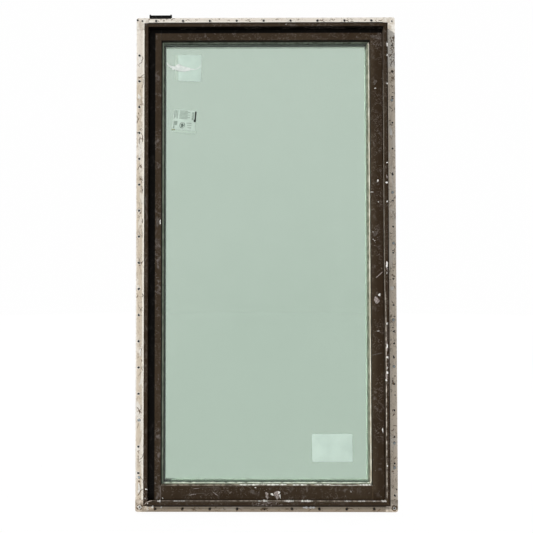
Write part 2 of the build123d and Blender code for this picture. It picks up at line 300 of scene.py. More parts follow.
def startGroup(name, inputs, outputs):
    group = bpy.data.node_groups.new(name, "ShaderNodeTree")
    for label, start in inputs.items():
        kind = "NodeSocketColor" if isinstance(start, tuple) else "NodeSocketFloat"
        socket = group.interface.new_socket(name=label, in_out="INPUT", socket_type=kind)
        socket.default_value = (*start, 1) if isinstance(start, tuple) else start
    for label, kind in outputs.items():
        group.interface.new_socket(name=label, in_out="OUTPUT", socket_type="NodeSocket" + kind)
    return group, put(group, "NodeGroupInput").outputs, put(group, "NodeGroupOutput").inputs

def place(tree, group, **inputs):
    # A group in a material, with its inputs named by their labels without spaces
    node = put(tree, "ShaderNodeGroup", node_tree=group)
    labels = {socket.name.replace(" ", ""): socket.name for socket in node.inputs}
    for key, value in inputs.items():
        socket = node.inputs[labels[key]]
        if isinstance(value, bpy.types.NodeSocket):
            tree.links.new(value, socket)
        else:
            socket.default_value = (*value, 1) if isinstance(value, tuple) else value
    return node.outputs

def makeRingGroup():
    # How far inside the frame's outline the surface lies: the least distance to its four sides.
    # It is below zero on the nailing fins.
    group, _, out = startGroup("insideOutline", {}, {"Inside": "Float"})
    parts = split(group, here(group))
    aside = minus(group, frameRight, calc(group, "ABSOLUTE", parts["X"]))
    below = minus(group, frameTop, parts["Z"])
    above = minus(group, parts["Z"], frameBottom)
    nearest = calc(group, "MINIMUM", aside, calc(group, "MINIMUM", below, above))
    group.links.new(nearest, out["Inside"])
    return group

def makeSmudgeGroup():
    # Chalky smudges: noise cut off below a level, broken up by finer noise and drawn out by rubbing
    inputs = {"Color": (0.06, 0.045, 0.03), "Chalk": (0.17, 0.14, 0.13), "Amount": 0.6, "Scale": 24.0,
              "Level": 0.55}
    group, given, out = startGroup("chalkSmudge", inputs, {"Color": "Color", "Mask": "Float"})
    spot = here(group)
    wide = noise(group, spot, given["Scale"], 5, 0.6, 0.6)
    rubbed = noise(group, here(group, (30, 30, 9), (0.2, 0.6, 0.1)), 1.0, 5, 0.65, 0.8)
    both = plus(group, times(group, wide, 0.65), times(group, rubbed, 0.35))
    top = plus(group, given["Level"], 0.14)
    mask = ramp(group, both, given["Level"], top)
    mask = times(group, mask, given["Amount"])
    group.links.new(blend(group, mask, given["Color"], given["Chalk"]), out["Color"])
    group.links.new(mask, out["Mask"])
    return group

def makeSpeckGroup():
    # Small dots: the middle of a cell, in the share of cells whose own random value is low enough
    inputs = {"Scale": 60.0, "Size": 0.18, "Share": 0.2}
    group, given, out = startGroup("specks", inputs, {"Mask": "Float"})
    cells = put(group, "ShaderNodeTexVoronoi", {"Vector": here(group), "Scale": given["Scale"]})
    own = put(group, "ShaderNodeSeparateColor", {"Color": cells.outputs["Color"]}).outputs
    chosen = calc(group, "LESS_THAN", own["Red"], given["Share"])
    radius = times(group, given["Size"], plus(group, own["Green"], 0.35))
    edge = times(group, radius, 0.6)
    dot = ramp(group, cells.outputs["Distance"], radius, edge)
    group.links.new(times(group, dot, chosen), out["Mask"])
    return group

def makeGrainGroup():
    # Pine: growth rings are a wave over noise that is drawn out along the grain, with fine pores.
    # Level Grain is 1 for a piece whose grain runs level, and 0 for an upright one.
    inputs = {"Light": (0.62, 0.42, 0.22), "Dark": (0.4, 0.23, 0.1), "Level Grain": 0.0}
    group, given, out = startGroup("pineGrain", inputs, {"Color": "Color", "Height": "Float"})
    masks = []
    for stretch in ((46, 46, 1.1), (1.1, 46, 46)):
        spot = here(group, stretch)
        rings = noise(group, spot, 1.0, 2, 0.5, 0.9)
        lines = calc(group, "SINE", times(group, rings, 26.0))
        fine = noise(group, here(group, tuple(v * 14 for v in stretch)), 1.0, 3, 0.6)
        masks.append(plus(group, times(group, lines, 0.3), fine))
    level = times(group, masks[1], given["Level Grain"])
    upright = times(group, masks[0], minus(group, 1.0, given["Level Grain"]))
    height = plus(group, level, upright)
    grain = blend(group, ramp(group, height, 0.15, 0.95), given["Dark"], given["Light"])
    group.links.new(grain, out["Color"])
    group.links.new(height, out["Height"])
    return group

def makeLipShadowGroup():
    # Painted shadow: the part of the sash in the lip's cast shadow, less than a set distance from its left
    # side or from its top
    inputs = {"From Left": 0.0234, "From Top": 0.0155}
    group, given, out = startGroup("paintedLipShadow", inputs, {"Mask": "Float"})
    parts = split(group, here(group))
    fromLeft = minus(group, parts["X"], frameLeft + lipWidth)
    fromTop = minus(group, frameTop - lipWidth, parts["Z"])
    masks = []
    for distance, reach in ((fromLeft, given["From Left"]), (fromTop, given["From Top"])):
        masks.append(ramp(group, distance, plus(group, reach, 0.0009), minus(group, reach, 0.0003)))
    group.links.new(calc(group, "MAXIMUM", *masks), out["Mask"])
    return group

def makeScratchGroup():
    # Fine scratches in three slanting directions: noise drawn out one way, kept where it is highest, and
    # only inside patches
    group, given, out = startGroup("fineScratches", {"Level": 0.645}, {"Mask": "Float"})
    patches = ramp(group, noise(group, here(group), 13.0, 3, 0.6), 0.46, 0.58)
    masks = []
    for angle in (0.6, -0.8, 1.5):
        turning = {"Vector": here(group), "Axis": (0, 1, 0), "Angle": angle}
        turned = put(group, "ShaderNodeVectorRotate", turning).outputs[0]
        drawn = put(group, "ShaderNodeMapping", {"Vector": turned, "Scale": (430, 430, 50)}).outputs[0]
        strands = noise(group, drawn, 1.0, 1, 0.5)
        masks.append(ramp(group, strands, given["Level"], plus(group, given["Level"], 0.05)))
    most = calc(group, "MAXIMUM", masks[0], calc(group, "MAXIMUM", masks[1], masks[2]))
    group.links.new(times(group, most, patches), out["Mask"])
    return group

ringGroup, smudgeGroup, speckGroup = makeRingGroup(), makeSmudgeGroup(), makeSpeckGroup()
grainGroup, lipShadowGroup, scratchGroup = makeGrainGroup(), makeLipShadowGroup(), makeScratchGroup()

def startMaterial(name, rough=0.6, shine=0.4, metal=0.0):
    material = bpy.data.materials.new(name)
    material.use_nodes = True
    tree = material.node_tree
    skin = tree.nodes["Principled BSDF"]
    skin.inputs["Roughness"].default_value = rough
    skin.inputs["Specular IOR Level"].default_value = shine
    skin.inputs["Metallic"].default_value = metal
    return material, tree, skin

def finish(tree, skin, colour, rough=None, height=None, depth=0.0002, strength=0.5):
    tree.links.new(colour, skin.inputs["Base Color"])
    if rough is not None:
        tree.links.new(rough, skin.inputs["Roughness"])
    if height is not None:
        bump = put(tree, "ShaderNodeBump", {"Height": height, "Distance": depth, "Strength": strength})
        tree.links.new(bump.outputs[0], skin.inputs["Normal"])

# Painted aluminium cladding in dark bronze, chalked by weather
cladValues = {
    "dark": (0.033, 0.0215, 0.012),
    "brown": (0.055, 0.0392, 0.0245),
    "fresh": (0.031, 0.0195, 0.0105),
    "sheltered": (0.0055, 0.0045, 0.0035),
    "chalk": (0.17, 0.148, 0.138),
    "dust": (0.2, 0.165, 0.13),
    "specks": (0.42, 0.39, 0.36),
    "scratch": (0.2, 0.17, 0.15),
    "stepWidth": 0.0034,
}

def makeClad(name, amount, nearWidth, freshAndShadeShare, dust, onSash=True, level=0.52, toLeft=1.0):
    # Paint keeps its first, darker colour within nearWidth of the lip, which on the sash is also painted
    # recess shade. Faces turned downwards get painted shade, and the lip's cast shadow on the sash is
    # painted near black. At the window's left side there is toLeft times as much chalk as at its right.
    material, tree, skin = startMaterial(name, 0.6, 0.08)
    inside = place(tree, ringGroup)["Inside"]
    spot = split(tree, here(tree))
    amount = ramp(tree, spot["X"], -0.3, 0.25, amount * toLeft, amount)
    shade = place(tree, lipShadowGroup)["Mask"]
    lit = minus(tree, 1.0, times(tree, shade, 0.85 if onSash else 0.0))
    amount = times(tree, amount, lit)
    broad = noise(tree, here(tree), 5.0, 4, 0.6)
    streaks = noise(tree, here(tree, (70, 70, 70)), 1.0, 3, 0.6)
    tone = plus(tree, times(tree, broad, 0.7), times(tree, streaks, 0.3))
    colour = blend(tree, ramp(tree, tone, 0.36, 0.64), cladValues["dark"], cladValues["brown"])
    # Within nearWidth of the lip the paint is darker, as unchalked paint and as painted recess shade
    near = ramp(tree, minus(tree, inside, lipWidth), nearWidth * 1.9, nearWidth, 0.0, freshAndShadeShare)
    colour = blend(tree, near, colour, cladValues["fresh"])
    if onSash:
        # Painted shadow: the lip's cast shadow on the sash, painted near black
        colour = blend(tree, shade, colour, cladValues["sheltered"])
    smudge = place(tree, smudgeGroup, Color=colour, Chalk=cladValues["chalk"], Amount=amount,
                   Scale=46.0, Level=level)
    facing = split(tree, put(tree, "ShaderNodeNewGeometry").outputs["Normal"])
    # Dust settles on faces turned upwards; on faces turned towards the sun it is also painted light,
    # lightening them
    upOrSunward = calc(tree, "MAXIMUM", times(tree, facing["X"], -0.8), facing["Z"])
    upOrSunwardShare = ramp(tree, upOrSunward, 0.35, 0.75)
    dustAndSunLight = times(tree, upOrSunwardShare, ramp(tree, streaks, 0.2, 0.75, dust * 0.45, dust))
    dustAndSunLight = times(tree, dustAndSunLight, ramp(tree, inside, 0.009, 0.012))
    colour = blend(tree, dustAndSunLight, smudge["Color"], cladValues["dust"])
    # Painted shade: faces turned downwards are darkened towards near black
    colour = blend(tree, ramp(tree, facing["Z"], -0.5, -0.8, 0.0, 0.95), colour, cladValues["sheltered"])
    for scale, share, strength in ((85.0, 0.06, 0.6), (190.0, 0.05, 0.6), (300.0, 0.05, 0.5)):
        dots = place(tree, speckGroup, Scale=scale, Size=0.17, Share=share)["Mask"]
        dots = times(tree, dots, lit)
        colour = blend(tree, times(tree, dots, strength), colour, cladValues["specks"])
    scratched = times(tree, times(tree, place(tree, scratchGroup)["Mask"], lit), 0.6)
    colour = blend(tree, scratched, colour, cladValues["scratch"])
    if not onSash:
        # Painted shade: the outer step is darkened, less so at the window's left side
        width = cladValues["stepWidth"]
        step = times(tree, ramp(tree, inside, width + 0.0004, width - 0.0003, 0.0, 0.8),
                     ramp(tree, inside, 0.0001, 0.0006))
        step = times(tree, step, ramp(tree, spot["X"], frameLeft + 0.004, frameLeft + 0.01, 0.35, 1.0))
        colour = blend(tree, step, colour, cladValues["sheltered"])
    rough = ramp(tree, plus(tree, smudge["Mask"], dustAndSunLight), 0.0, 0.8, 0.48, 0.85)
    finish(tree, skin, colour, rough, plus(tree, streaks, smudge["Mask"]), 0.0003, 0.35)
    return material

# Nailing fins: off-white vinyl with tan adhesive, paler where it peeled off, and dirt at its edges
finValues = {
    "clean": (0.84, 0.79, 0.715),
    "root": (0.95, 0.92, 0.84),
    "low": (0.47, 0.395, 0.3),
    "cool": (0.85, 0.815, 0.745),
    "coolAbove": 1.65,
    "adhesive": (0.61, 0.515, 0.39),
    "outline": (0.27, 0.19, 0.11),
    "peeled": (0.84, 0.82, 0.77),
    "dirt": (0.2, 0.16, 0.12),
    "dust": (0.87, 0.78, 0.66),
    "mark": (0.05, 0.034, 0.022),
    "cleanAbove": 1.608,
}

def makeFin(name, stretch, tan, dirty, grime=0.0, base="clean", paleTo=0.0075, blackTo=0.0,
            marks=0.5, streaky=0.08):
    # The argument after dirty sets how far in from the free edge the fin gets darker. The strip beside the
    # frame is pale as far out as paleTo, and black as far as blackTo. Marks is the strength of the brown
    # lines and specks, and streaky that of the dirt drawn out along the fin.
    material, tree, skin = startMaterial(name, 0.55, 0.3)
    spot = split(tree, here(tree))
    ground = finValues[base]
    if base == "dust":
        above = finValues["coolAbove"]
        ground = blend(tree, ramp(tree, spot["Z"], above - 0.02, above), ground, finValues["cool"])
    outside = times(tree, place(tree, ringGroup)["Inside"], -1.0)
    wander = noise(tree, here(tree, stretch, shift=(0.3, 0, 0.7)), 9.0, 4, 0.6)
    bend = times(tree, minus(tree, wander, 0.5), 0.02)
    across = plus(tree, outside, bend)
    band = times(tree, ramp(tree, across, 0.009, 0.013), ramp(tree, across, 0.035, 0.03))
    above = finValues["cleanAbove"]
    band = times(tree, band, ramp(tree, spot["Z"], above + 0.003, above, 0.25, 1.0))
    patchy = noise(tree, here(tree, stretch, shift=(2.3, 0, 5.1)), 34.0, 4, 0.55, 0.6)
    film = times(tree, band, ramp(tree, patchy, 0.36, 0.56, 0.1, 1.0))
    colour = blend(tree, times(tree, film, tan), ground, finValues["adhesive"])
    away = calc(tree, "ABSOLUTE", times(tree, minus(tree, patchy, 0.47), 42.0))
    rim = times(tree, minus(tree, 1.0, away, clamp=True), band)
    colour = blend(tree, times(tree, rim, tan * 0.75), colour, finValues["outline"])
    bare = ramp(tree, noise(tree, here(tree, stretch, shift=(7.7, 0, 1.9)), 24.0, 4, 0.6, 0.6), 0.57, 0.62)
    colour = blend(tree, times(tree, bare, tan), colour, finValues["peeled"])
    pale = ramp(tree, outside, paleTo + 0.0008, paleTo - 0.0006, 0.0, 0.85)
    colour = blend(tree, pale, colour, finValues["root"])
    grit = noise(tree, here(tree), 130.0, 4, 0.65)
    margin = ramp(tree, outside, 0.032, 0.036)
    dirt = times(tree, ramp(tree, grit, 0.5, 0.68), plus(tree, times(tree, margin, 0.55), dirty))
    edgeDarkened = ramp(tree, plus(tree, outside, times(tree, bend, 0.4)), 0.02, 0.034, grime * 0.2, grime)
    dirt = calc(tree, "MAXIMUM", dirt, edgeDarkened)
    colour = blend(tree, dirt, colour, finValues["dirt"])
    # Wandering brown lines are where a finer noise passes its middle value, inside patches of their own
    patches = ramp(tree, noise(tree, here(tree, (1, 1, 1), shift=(4.1, 0, 2.7)), 17.0, 3), 0.47, 0.58)
    fine = noise(tree, here(tree, (1, 1, 0.6)), 75.0, 2, 0.5, 1.4)
    near = calc(tree, "ABSOLUTE", times(tree, minus(tree, fine, 0.5), 26.0))
    line = times(tree, minus(tree, 1.0, near, clamp=True), patches)
    colour = blend(tree, times(tree, line, marks * 0.75), colour, finValues["outline"])
    for scale, share, strength in ((90.0, 0.07, 0.5), (150.0, 0.07, 0.9), (240.0, 0.06, 0.8)):
        dots = place(tree, speckGroup, Scale=scale, Size=0.22, Share=share)["Mask"]
        colour = blend(tree, times(tree, dots, strength * marks), colour, finValues["mark"])
    drawn = tuple(260 if v == 1 else 7 for v in stretch)
    grain = noise(tree, here(tree, drawn), 1.0, 3, 0.6)
    colour = blend(tree, ramp(tree, grain, 0.42, 0.7, 0.0, streaky), colour, finValues["dirt"])
    if blackTo:
        black = ramp(tree, outside, blackTo + 0.0007, blackTo - 0.0004, 0.0, 0.92)
        colour = blend(tree, black, colour, cladValues["dark"])
    finish(tree, skin, colour, ramp(tree, patchy, 0.3, 0.7, 0.45, 0.75), plus(tree, film, grit), 0.0004, 0.5)
    return material

# Wood, glass and the small parts
woodValues = {
    "light": (0.54, 0.38, 0.22),
    "dark": (0.4, 0.26, 0.14),
    "paint": (0.74, 0.725, 0.68),
    "worn": (0.52, 0.475, 0.4),
}

def makeWood(name, level):
    # Bare pine where it faces the wall, outwards or forwards, and white paint towards the room
    material, tree, skin = startMaterial(name, 0.45, 0.4)
    grain = place(tree, grainGroup, Light=woodValues["light"], Dark=woodValues["dark"], LevelGrain=level)
    worn = noise(tree, here(tree), 11.0, 4, 0.6)
    aged = tuple(v * 0.6 for v in woodValues["light"])
    pine = blend(tree, ramp(tree, worn, 0.5, 0.75, 0.0, 0.35), grain["Color"], aged)
    scuff = noise(tree, here(tree), 60.0, 5, 0.65)
    paint = blend(tree, ramp(tree, scuff, 0.45, 0.8, 0.0, 0.7), woodValues["paint"], woodValues["worn"])
    normal = split(tree, put(tree, "ShaderNodeNewGeometry").outputs["Normal"])
    spot = split(tree, here(tree))
    aside = times(tree, normal["X"], calc(tree, "SIGN", spot["X"]))
    middle = (frameTop + frameBottom) / 2
    rise = times(tree, normal["Z"], calc(tree, "SIGN", minus(tree, spot["Z"], middle)))
    away = calc(tree, "MAXIMUM", calc(tree, "MAXIMUM", aside, rise), times(tree, normal["Y"], -1.0))
    chips = ramp(tree, plus(tree, scuff, times(tree, worn, 0.5)), 0.96, 0.99)
    bare = calc(tree, "MAXIMUM", ramp(tree, away, 0.4, 0.6), times(tree, chips, 0.8))
    colour, rough = blend(tree, bare, paint, pine), ramp(tree, worn, 0.3, 0.7, 0.38, 0.6)
    finish(tree, skin, colour, rough, grain["Height"], 0.0002, 0.3)
    return material

glassValues = {
    "upper": (0.535, 0.62, 0.554),
    "lower": (0.467, 0.56, 0.487),
    "inner": (0.93, 0.97, 0.94),
    "lamp": (0.93, 0.97, 0.95),
}

def makeGlass(name, upper, lower):
    material, tree, skin = startMaterial(name, 0.0, 0.5)
    skin.inputs["Transmission Weight"].default_value = 1.0
    skin.inputs["IOR"].default_value = 1.5
    spot = split(tree, here(tree))
    # Painted shade: the tint is darker towards the bottom and the right
    cloudy = noise(tree, here(tree), 2.2, 3, 0.55)
    level = plus(tree, spot["Z"], times(tree, minus(tree, cloudy, 0.5), 0.9))
    level = minus(tree, level, times(tree, spot["X"], 0.35))
    tone = blend(tree, ramp(tree, level, frameBottom, frameTop), lower, upper)
    tree.links.new(tone, skin.inputs["Base Color"])
    film = ramp(tree, noise(tree, here(tree), 7.0, 4, 0.6), 0.4, 0.8, 0.0, 0.03)
    tree.links.new(film, skin.inputs["Roughness"])
    clear = put(tree, "ShaderNodeBsdfTransparent", {"Color": (*glassValues["lamp"], 1)})
    lamp = put(tree, "ShaderNodeLightPath").outputs["Is Shadow Ray"]
    mix = put(tree, "ShaderNodeMixShader", {0: lamp, 1: skin.outputs[0], 2: clear.outputs[0]})
    tree.links.new(mix.outputs[0], tree.nodes["Material Output"].inputs["Surface"])
    return material

def makePlain(name, first, second, scale, rough=(0.5, 0.7), shine=0.3, metal=0.0, depth=0.0002,
              low=0.35, high=0.65):
    # Two tones mixed by noise, with its grain as relief
    material, tree, skin = startMaterial(name, rough[0], shine, metal)
    mottle = noise(tree, here(tree), scale, 4, 0.6)
    colour = blend(tree, ramp(tree, mottle, low, high), first, second)
    finish(tree, skin, colour, ramp(tree, mottle, 0.3, 0.7, *rough), mottle, depth, 0.4)
    return material

def makeSealant(name, first, second, scale=60):
    return makePlain(name, first, second, scale, depth=0.0006)

def makeDeposit(name, first, second, scale, rough=(0.7, 0.9)):
    return makePlain(name, first, second, scale, rough, depth=0.0005)

def makePrint(name, first, second, scale, rough=(0.5, 0.6)):
    return makePlain(name, first, second, scale, rough, depth=0.0001)

frameClad = makeClad("bronzeFramePaint", 0.4, 0.0005, 0.75, 0.55, False)
quietFrameClad = makeClad("bronzeQuietFramePaint", 0.16, 0.0005, 0.95, 0.25, False)
sashClad = makeClad("bronzeSashPaint", 0.45, 0.021, 0.9, 0.4, level=0.54)
upperSashClad = makeClad("bronzeUpperSashPaint", 0.75, 0.07, 0.2, 0.3)
topRailClad = makeClad("bronzeTopRailPaint", 0.5, 0.07, 0.4, 0.3, level=0.55)
lowSashClad = makeClad("bronzeLowSashPaint", 0.5, 0.07, 0.5, 0.4, toLeft=0.3)
uprightFin = makeFin("stainedUprightFin", (1, 1, 0.35), 0.75, 0.05, paleTo=0.0132, marks=0.6)
levelFin = makeFin("stainedLevelFin", (0.35, 1, 1), 0.42, 0.03, paleTo=0.0235, blackTo=0.0192, marks=0.6)
lowFin = makeFin("edgeDarkLevelFin", (0.35, 1, 1), 0.3, 0.2, 0.8, "low", blackTo=0.0172, marks=0.7,
                 streaky=0.4)
shadeFin = makeFin("dustyUprightFin", (1, 1, 0.35), 0.35, 0.12, 0.0, "dust", marks=0.9, streaky=0.25)
uprightWood, levelWood = makeWood("uprightWindowWood", 0.0), makeWood("levelWindowWood", 1.0)
outerGlass = makeGlass("greenGlass", glassValues["upper"], glassValues["lower"])
innerGlass = makeGlass("clearGlass", glassValues["inner"], glassValues["inner"])
whiteStop = makePlain("whiteStopPaint", (0.74, 0.73, 0.7), (0.86, 0.855, 0.83), 35, (0.4, 0.6))
padVinyl = makePlain("cornerPadVinyl", (0.58, 0.52, 0.44), (0.84, 0.81, 0.75), 60)
dirtyPad = makePlain("dirtyPadVinyl", (0.3, 0.25, 0.19), (0.66, 0.58, 0.49), 75)
beadVinyl = makePlain("brownBeadVinyl", (0.007, 0.006, 0.0035), (0.022, 0.016, 0.011), 90, shine=0.15)
dustyBead = makePlain("dustyBeadVinyl", (0.07, 0.055, 0.04), (0.26, 0.22, 0.175), 60, low=0.4, high=0.6)
creamSealant = makeSealant("creamSealant", (0.5, 0.455, 0.35), (0.74, 0.73, 0.63), 26)
# Painted shade: a darker, greener copy of the cream sealant for the left side
shadedGreenSealant = makeSealant("paintedShadeSealant", (0.2, 0.25, 0.18), (0.33, 0.39, 0.29), 40)
spacerMetal = makePlain("dullSpacer", (0.06, 0.075, 0.06), (0.13, 0.15, 0.125), 40, (0.4, 0.6), 0.5, 0.6)
softBlack = makePlain("blackRubber", (0.012, 0.012, 0.012), (0.03, 0.03, 0.03), 80, (0.7, 0.9))
blackPaint = makePlain("blackBracketPaint", (0.002, 0.002, 0.002), (0.007, 0.0065, 0.006), 120,
                       (0.55, 0.8), 0.08)
galvanised = makePlain("galvanisedSteel", (0.24, 0.28, 0.3), (0.5, 0.56, 0.58), 400, (0.4, 0.6), 0.5, 0.2)
wornZinc = makePlain("wornZinc", (0.4, 0.38, 0.34), (0.76, 0.74, 0.7), 260, (0.5, 0.7), 0.25, 0.25)
stubSteel = makePlain("darkNailSteel", (0.004, 0.005, 0.006), (0.018, 0.02, 0.022), 500,
                      (0.6, 0.85), 0.12, 0.0)
burrVinyl = makePlain("raisedVinyl", (0.66, 0.63, 0.57), (0.86, 0.84, 0.8), 260, depth=0.0003)
whitePaste = makeDeposit("whiteResidue", (0.7, 0.69, 0.66), (0.93, 0.92, 0.9), 220, (0.6, 0.85))
lilacChalk = makeDeposit("chalkDeposit", (0.13, 0.105, 0.095), (0.42, 0.37, 0.35), 190, (0.75, 0.95))
paleSealant = makeSealant("paleGreenSealant", (0.6, 0.7, 0.57), (0.82, 0.9, 0.78))
dullSealant = makeSealant("dullGreenSealant", (0.13, 0.15, 0.105), (0.25, 0.275, 0.205))
middlingSealant = makeSealant("middlingSealant", (0.19, 0.22, 0.165), (0.31, 0.355, 0.28))
shadedSealant = makeSealant("shadedSealant", (0.075, 0.095, 0.065), (0.17, 0.21, 0.155))
shadedSpacer = makePlain("shadedSpacer", (0.018, 0.024, 0.018), (0.045, 0.055, 0.044), 40,
                         (0.5, 0.7), 0.3, 0.4)
faintChalk = makePlain("faintChalk", (0.055, 0.043, 0.034), (0.1, 0.083, 0.07), 150,
                       (0.75, 0.95), depth=0.0003)
labelFilm = makePrint("paleLabelFilm", (0.49, 0.62, 0.55), (0.535, 0.67, 0.595), 14, (0.45, 0.6))
darkCrust = makeDeposit("darkCrust", (0.012, 0.009, 0.006), (0.1, 0.066, 0.042), 300)
dustCake = makePlain("cakedDust", (0.26, 0.21, 0.17), (0.64, 0.56, 0.49), 150, (0.8, 0.95), depth=0.0004)
paleCake = makePlain("paleCakedDust", (0.5, 0.44, 0.37), (0.82, 0.76, 0.68), 150, (0.8, 0.95), depth=0.0004)
smearPaste = makePlain("driedPaste", (0.6, 0.66, 0.63), (0.74, 0.78, 0.76), 90, (0.6, 0.85), depth=0.0004)
faintPrint = makePrint("faintPrint", (0.2, 0.26, 0.22), (0.38, 0.47, 0.41), 420)
glueCrust = makePrint("brownGlueTrace", (0.17, 0.19, 0.1), (0.34, 0.39, 0.26), 400, (0.5, 0.7))
ringPrint = makePrint("ringPrint", (0.06, 0.085, 0.075), (0.2, 0.26, 0.22), 400)
darkPrint = makePrint("darkPrint", (0.008, 0.01, 0.009), (0.06, 0.075, 0.065), 700)
smallFilm = makePrint("smallLabelFilm", (0.48, 0.59, 0.52), (0.535, 0.655, 0.58), 120, (0.45, 0.6))
gluePrint = makePrint("glueTrace", (0.42, 0.53, 0.45), (0.5, 0.62, 0.53), 150, (0.5, 0.7))
brownCrust = makeDeposit("brownCrust", (0.06, 0.038, 0.02), (0.22, 0.15, 0.09), 300)
print("finishes made")

# A node takes the finish of the first ending here that its name has
finishes = {
    "sill_frame_cladding": quietFrameClad, "right_frame_cladding": quietFrameClad,
    "_frame_cladding": frameClad, "bottom_rail_cladding": lowSashClad, "right_stile_cladding": sashClad,
    "left_stile_cladding": upperSashClad, "top_rail_cladding": topRailClad, "left_nailing_fin": uprightFin,
    "right_nailing_fin": shadeFin, "head_nailing_fin": levelFin, "sill_nailing_fin": lowFin,
    "top_left_corner_pad": padVinyl, "top_right_corner_pad": padVinyl, "_corner_pad": dirtyPad,
    "_jamb_wood": uprightWood, "_stile_wood": uprightWood, "_rail_wood": levelWood, "head_wood": levelWood,
    "sill_wood": levelWood, "_inner_stop": whiteStop, "bottom_glazing_bead": dustyBead,
    # Painted shade: the top and left seals and the left spacer bar take darker, shaded copies of their
    # finishes
    "_glazing_bead": beadVinyl, "top_glazing_seal": shadedSealant, "left_glazing_seal": shadedGreenSealant,
    "bottom_glazing_seal": middlingSealant, "_glazing_seal": creamSealant, "left_spacer_bar": shadedSpacer,
    "_spacer_bar": spacerMetal, "outer_pane": outerGlass, "inner_pane": innerGlass,
    "sash_seal_strips": softBlack, "setting_blocks": softBlack, "head_bracket": blackPaint,
}
for name, node in nodes.items():
    ending = [key for key in finishes if name.endswith(key)]
    node.data.materials.clear()
    node.data.materials.append(finishes[ending[0]])
print("finishes given to the nodes")

# Profiles of plates and lumps, from the top's middle over the edge to the base's middle: the share of the
# outline and the height
profiles = {
    "stub": ((0, 0.0017), (0.4, 0.0018), (0.7, 0.0015), (0.95, 0.0014), (1, 0.0011), (0.8, 0.0008),
             (0.7, -0.0004), (0, -0.0004)),
    "stain": ((0, 0.0002), (0.9, 0.0002), (1, 0.0001), (1, -0.0003), (0, -0.0003)),
    "dirt": ((0, 0.0002), (0.9, 0.0002), (1, 0.0), (1, -0.0003), (0, -0.0003)),
    "head": ((0, 0.0016), (0.3, 0.00155), (0.75, 0.0013), (0.95, 0.001), (1, 0.0007), (0.98, 0.0001),
             (0.98, -0.0002), (0, -0.0002)),
    "washer": ((0, 0.0009), (0.92, 0.0009), (1, 0.0006), (1, -0.0003), (0, -0.0003)),
    "dome": ((0, 0.0026), (0.35, 0.0025), (0.7, 0.0021), (0.93, 0.0014), (1, 0.0009), (1, 0.0), (0, 0.0)),
    "pan": ((0, 0.0012), (0.22, 0.0012), (0.34, 0.0025), (0.7, 0.0023), (0.94, 0.0014), (1, 0.0006),
            (1, -0.0004), (0, -0.0004)),
    "print": ((0, 0.0001), (0.97, 0.0001), (1, 0), (1, -0.00005), (0, -0.00005)),
    "paste": ((0, 0.0009), (0.5, 0.0008), (0.85, 0.0005), (1, 0.0001), (1, -0.0002), (0, -0.0002)),
    "grit": ((0, 0.0004), (0.7, 0.0003), (1, 0), (1, -0.0002), (0, -0.0002)),
}

# Fixings: cut-off nails in the fins' punched holes, torn vinyl round them, nail heads and corner screws.
# Square washer is its half side and corner radius, pad tear its ring's radius and thickness, washer dirt
# its half sizes, and the gap's painted shade and the hem their half width and height.
fixingValues = {
    "jambHoles": 17,
    "headHoles": 9,
    "jambPitch": 0.0978,
    "headPitch": 0.1016,
    "headShift": -0.007,
    "fromEdge": 0.011,
    "rightRise": 0.0365,
    "stubRecess": 0.0012,
    "stubRadius": 0.0046,
    "rightStubRadius": 0.0036,
    "headRadius": 0.0046,
    "rightHeads": (
        (391.9, 100.0), (392.6, 192.4), (393.5, 243.2), (393.4, 319.8), (394.0, 366.5), (394.4, 443.0),
        (394.6, 467.6),
    ),
    "leftHeads": ((139.2, 420.0), (139.2, 477.4)),
    "padScrews": ((139.6, 507.0), (394.4, 508.2), (391.6, 21.2), (137.6, 20.3), (142.4, 21.2)),
    "padScrewRadii": (0.0027, 0.0029, 0.0024, 0.0033, 0.0029),
    "burrTube": 0.001,
    "squareWasher": (0.0072, 0.0012),
    "roundWasher": 0.0062,
    "padTear": (0.0042, 0.0009),
    "washerDirt": (0.0112, 0.0106),
    "bracketScrew": 0.0043,
    "gapDirt": (0.0016, 0.0004),
    "hem": (0.0012, 0.002),
    "hemDrop": 0.004,
    "bracketPlate": 0.0025,
    "bracketFootStart": 0.012,
    "bracketScrewAside": 0.025,
}

def outlineAt(centres, halfSizes, ragged, seed, depth):
    # Ragged outlines whose half sizes are given in pixels at that depth
    halfSizes = np.asarray(halfSizes, float) * pixelAt(depth)
    return raggedOutline(len(centres), halfSizes[:, 0], halfSizes[:, 1], ragged, seed)

def addBurrs(name, centres, ringRadius, tube, seed, material, slot="fin_vinyl"):
    # Rings round the holes: (ring + tube cos v)(cos u, sin u) along the wall and tube sin v outwards,
    # where the ring's radius and the tube's height wander with u
    rng = np.random.default_rng(seed)
    count, around, across = len(centres), 18, 6
    u = np.linspace(0, 2 * np.pi, around, endpoint=False)[None, :, None]
    v = np.linspace(0, 2 * np.pi, across, endpoint=False)[None, None, :]
    turn = rng.uniform(0, 2 * np.pi, (count, 1, 1))
    thick = tube * (0.75 + 0.5 * np.cos(u + turn) ** 2 + 0.25 * np.cos(3 * u + 2 * turn))
    radius = ringRadius * (1 + 0.07 * np.cos(2 * u - turn)) + thick * np.cos(v)
    rise = -thick * np.sin(v) * 0.8
    ring = np.stack([radius * np.cos(u), rise + 0 * u, radius * np.sin(u)], -1)
    points = ring + centres[:, None, None, :]
    i, j = np.arange(around)[None, :, None], np.arange(across)[None, None, :]
    k = np.arange(count)[:, None, None] * around * across
    nextI, nextJ = (i + 1) % around, (j + 1) % across
    row, nextRow = k + i * across, k + nextI * across
    quads = np.stack([row + j, row + nextJ, nextRow + nextJ, nextRow + j], -1)
    return addMesh(name, points, quads.reshape(-1, 4), np.zeros((0, 3), int), material, slot=slot)

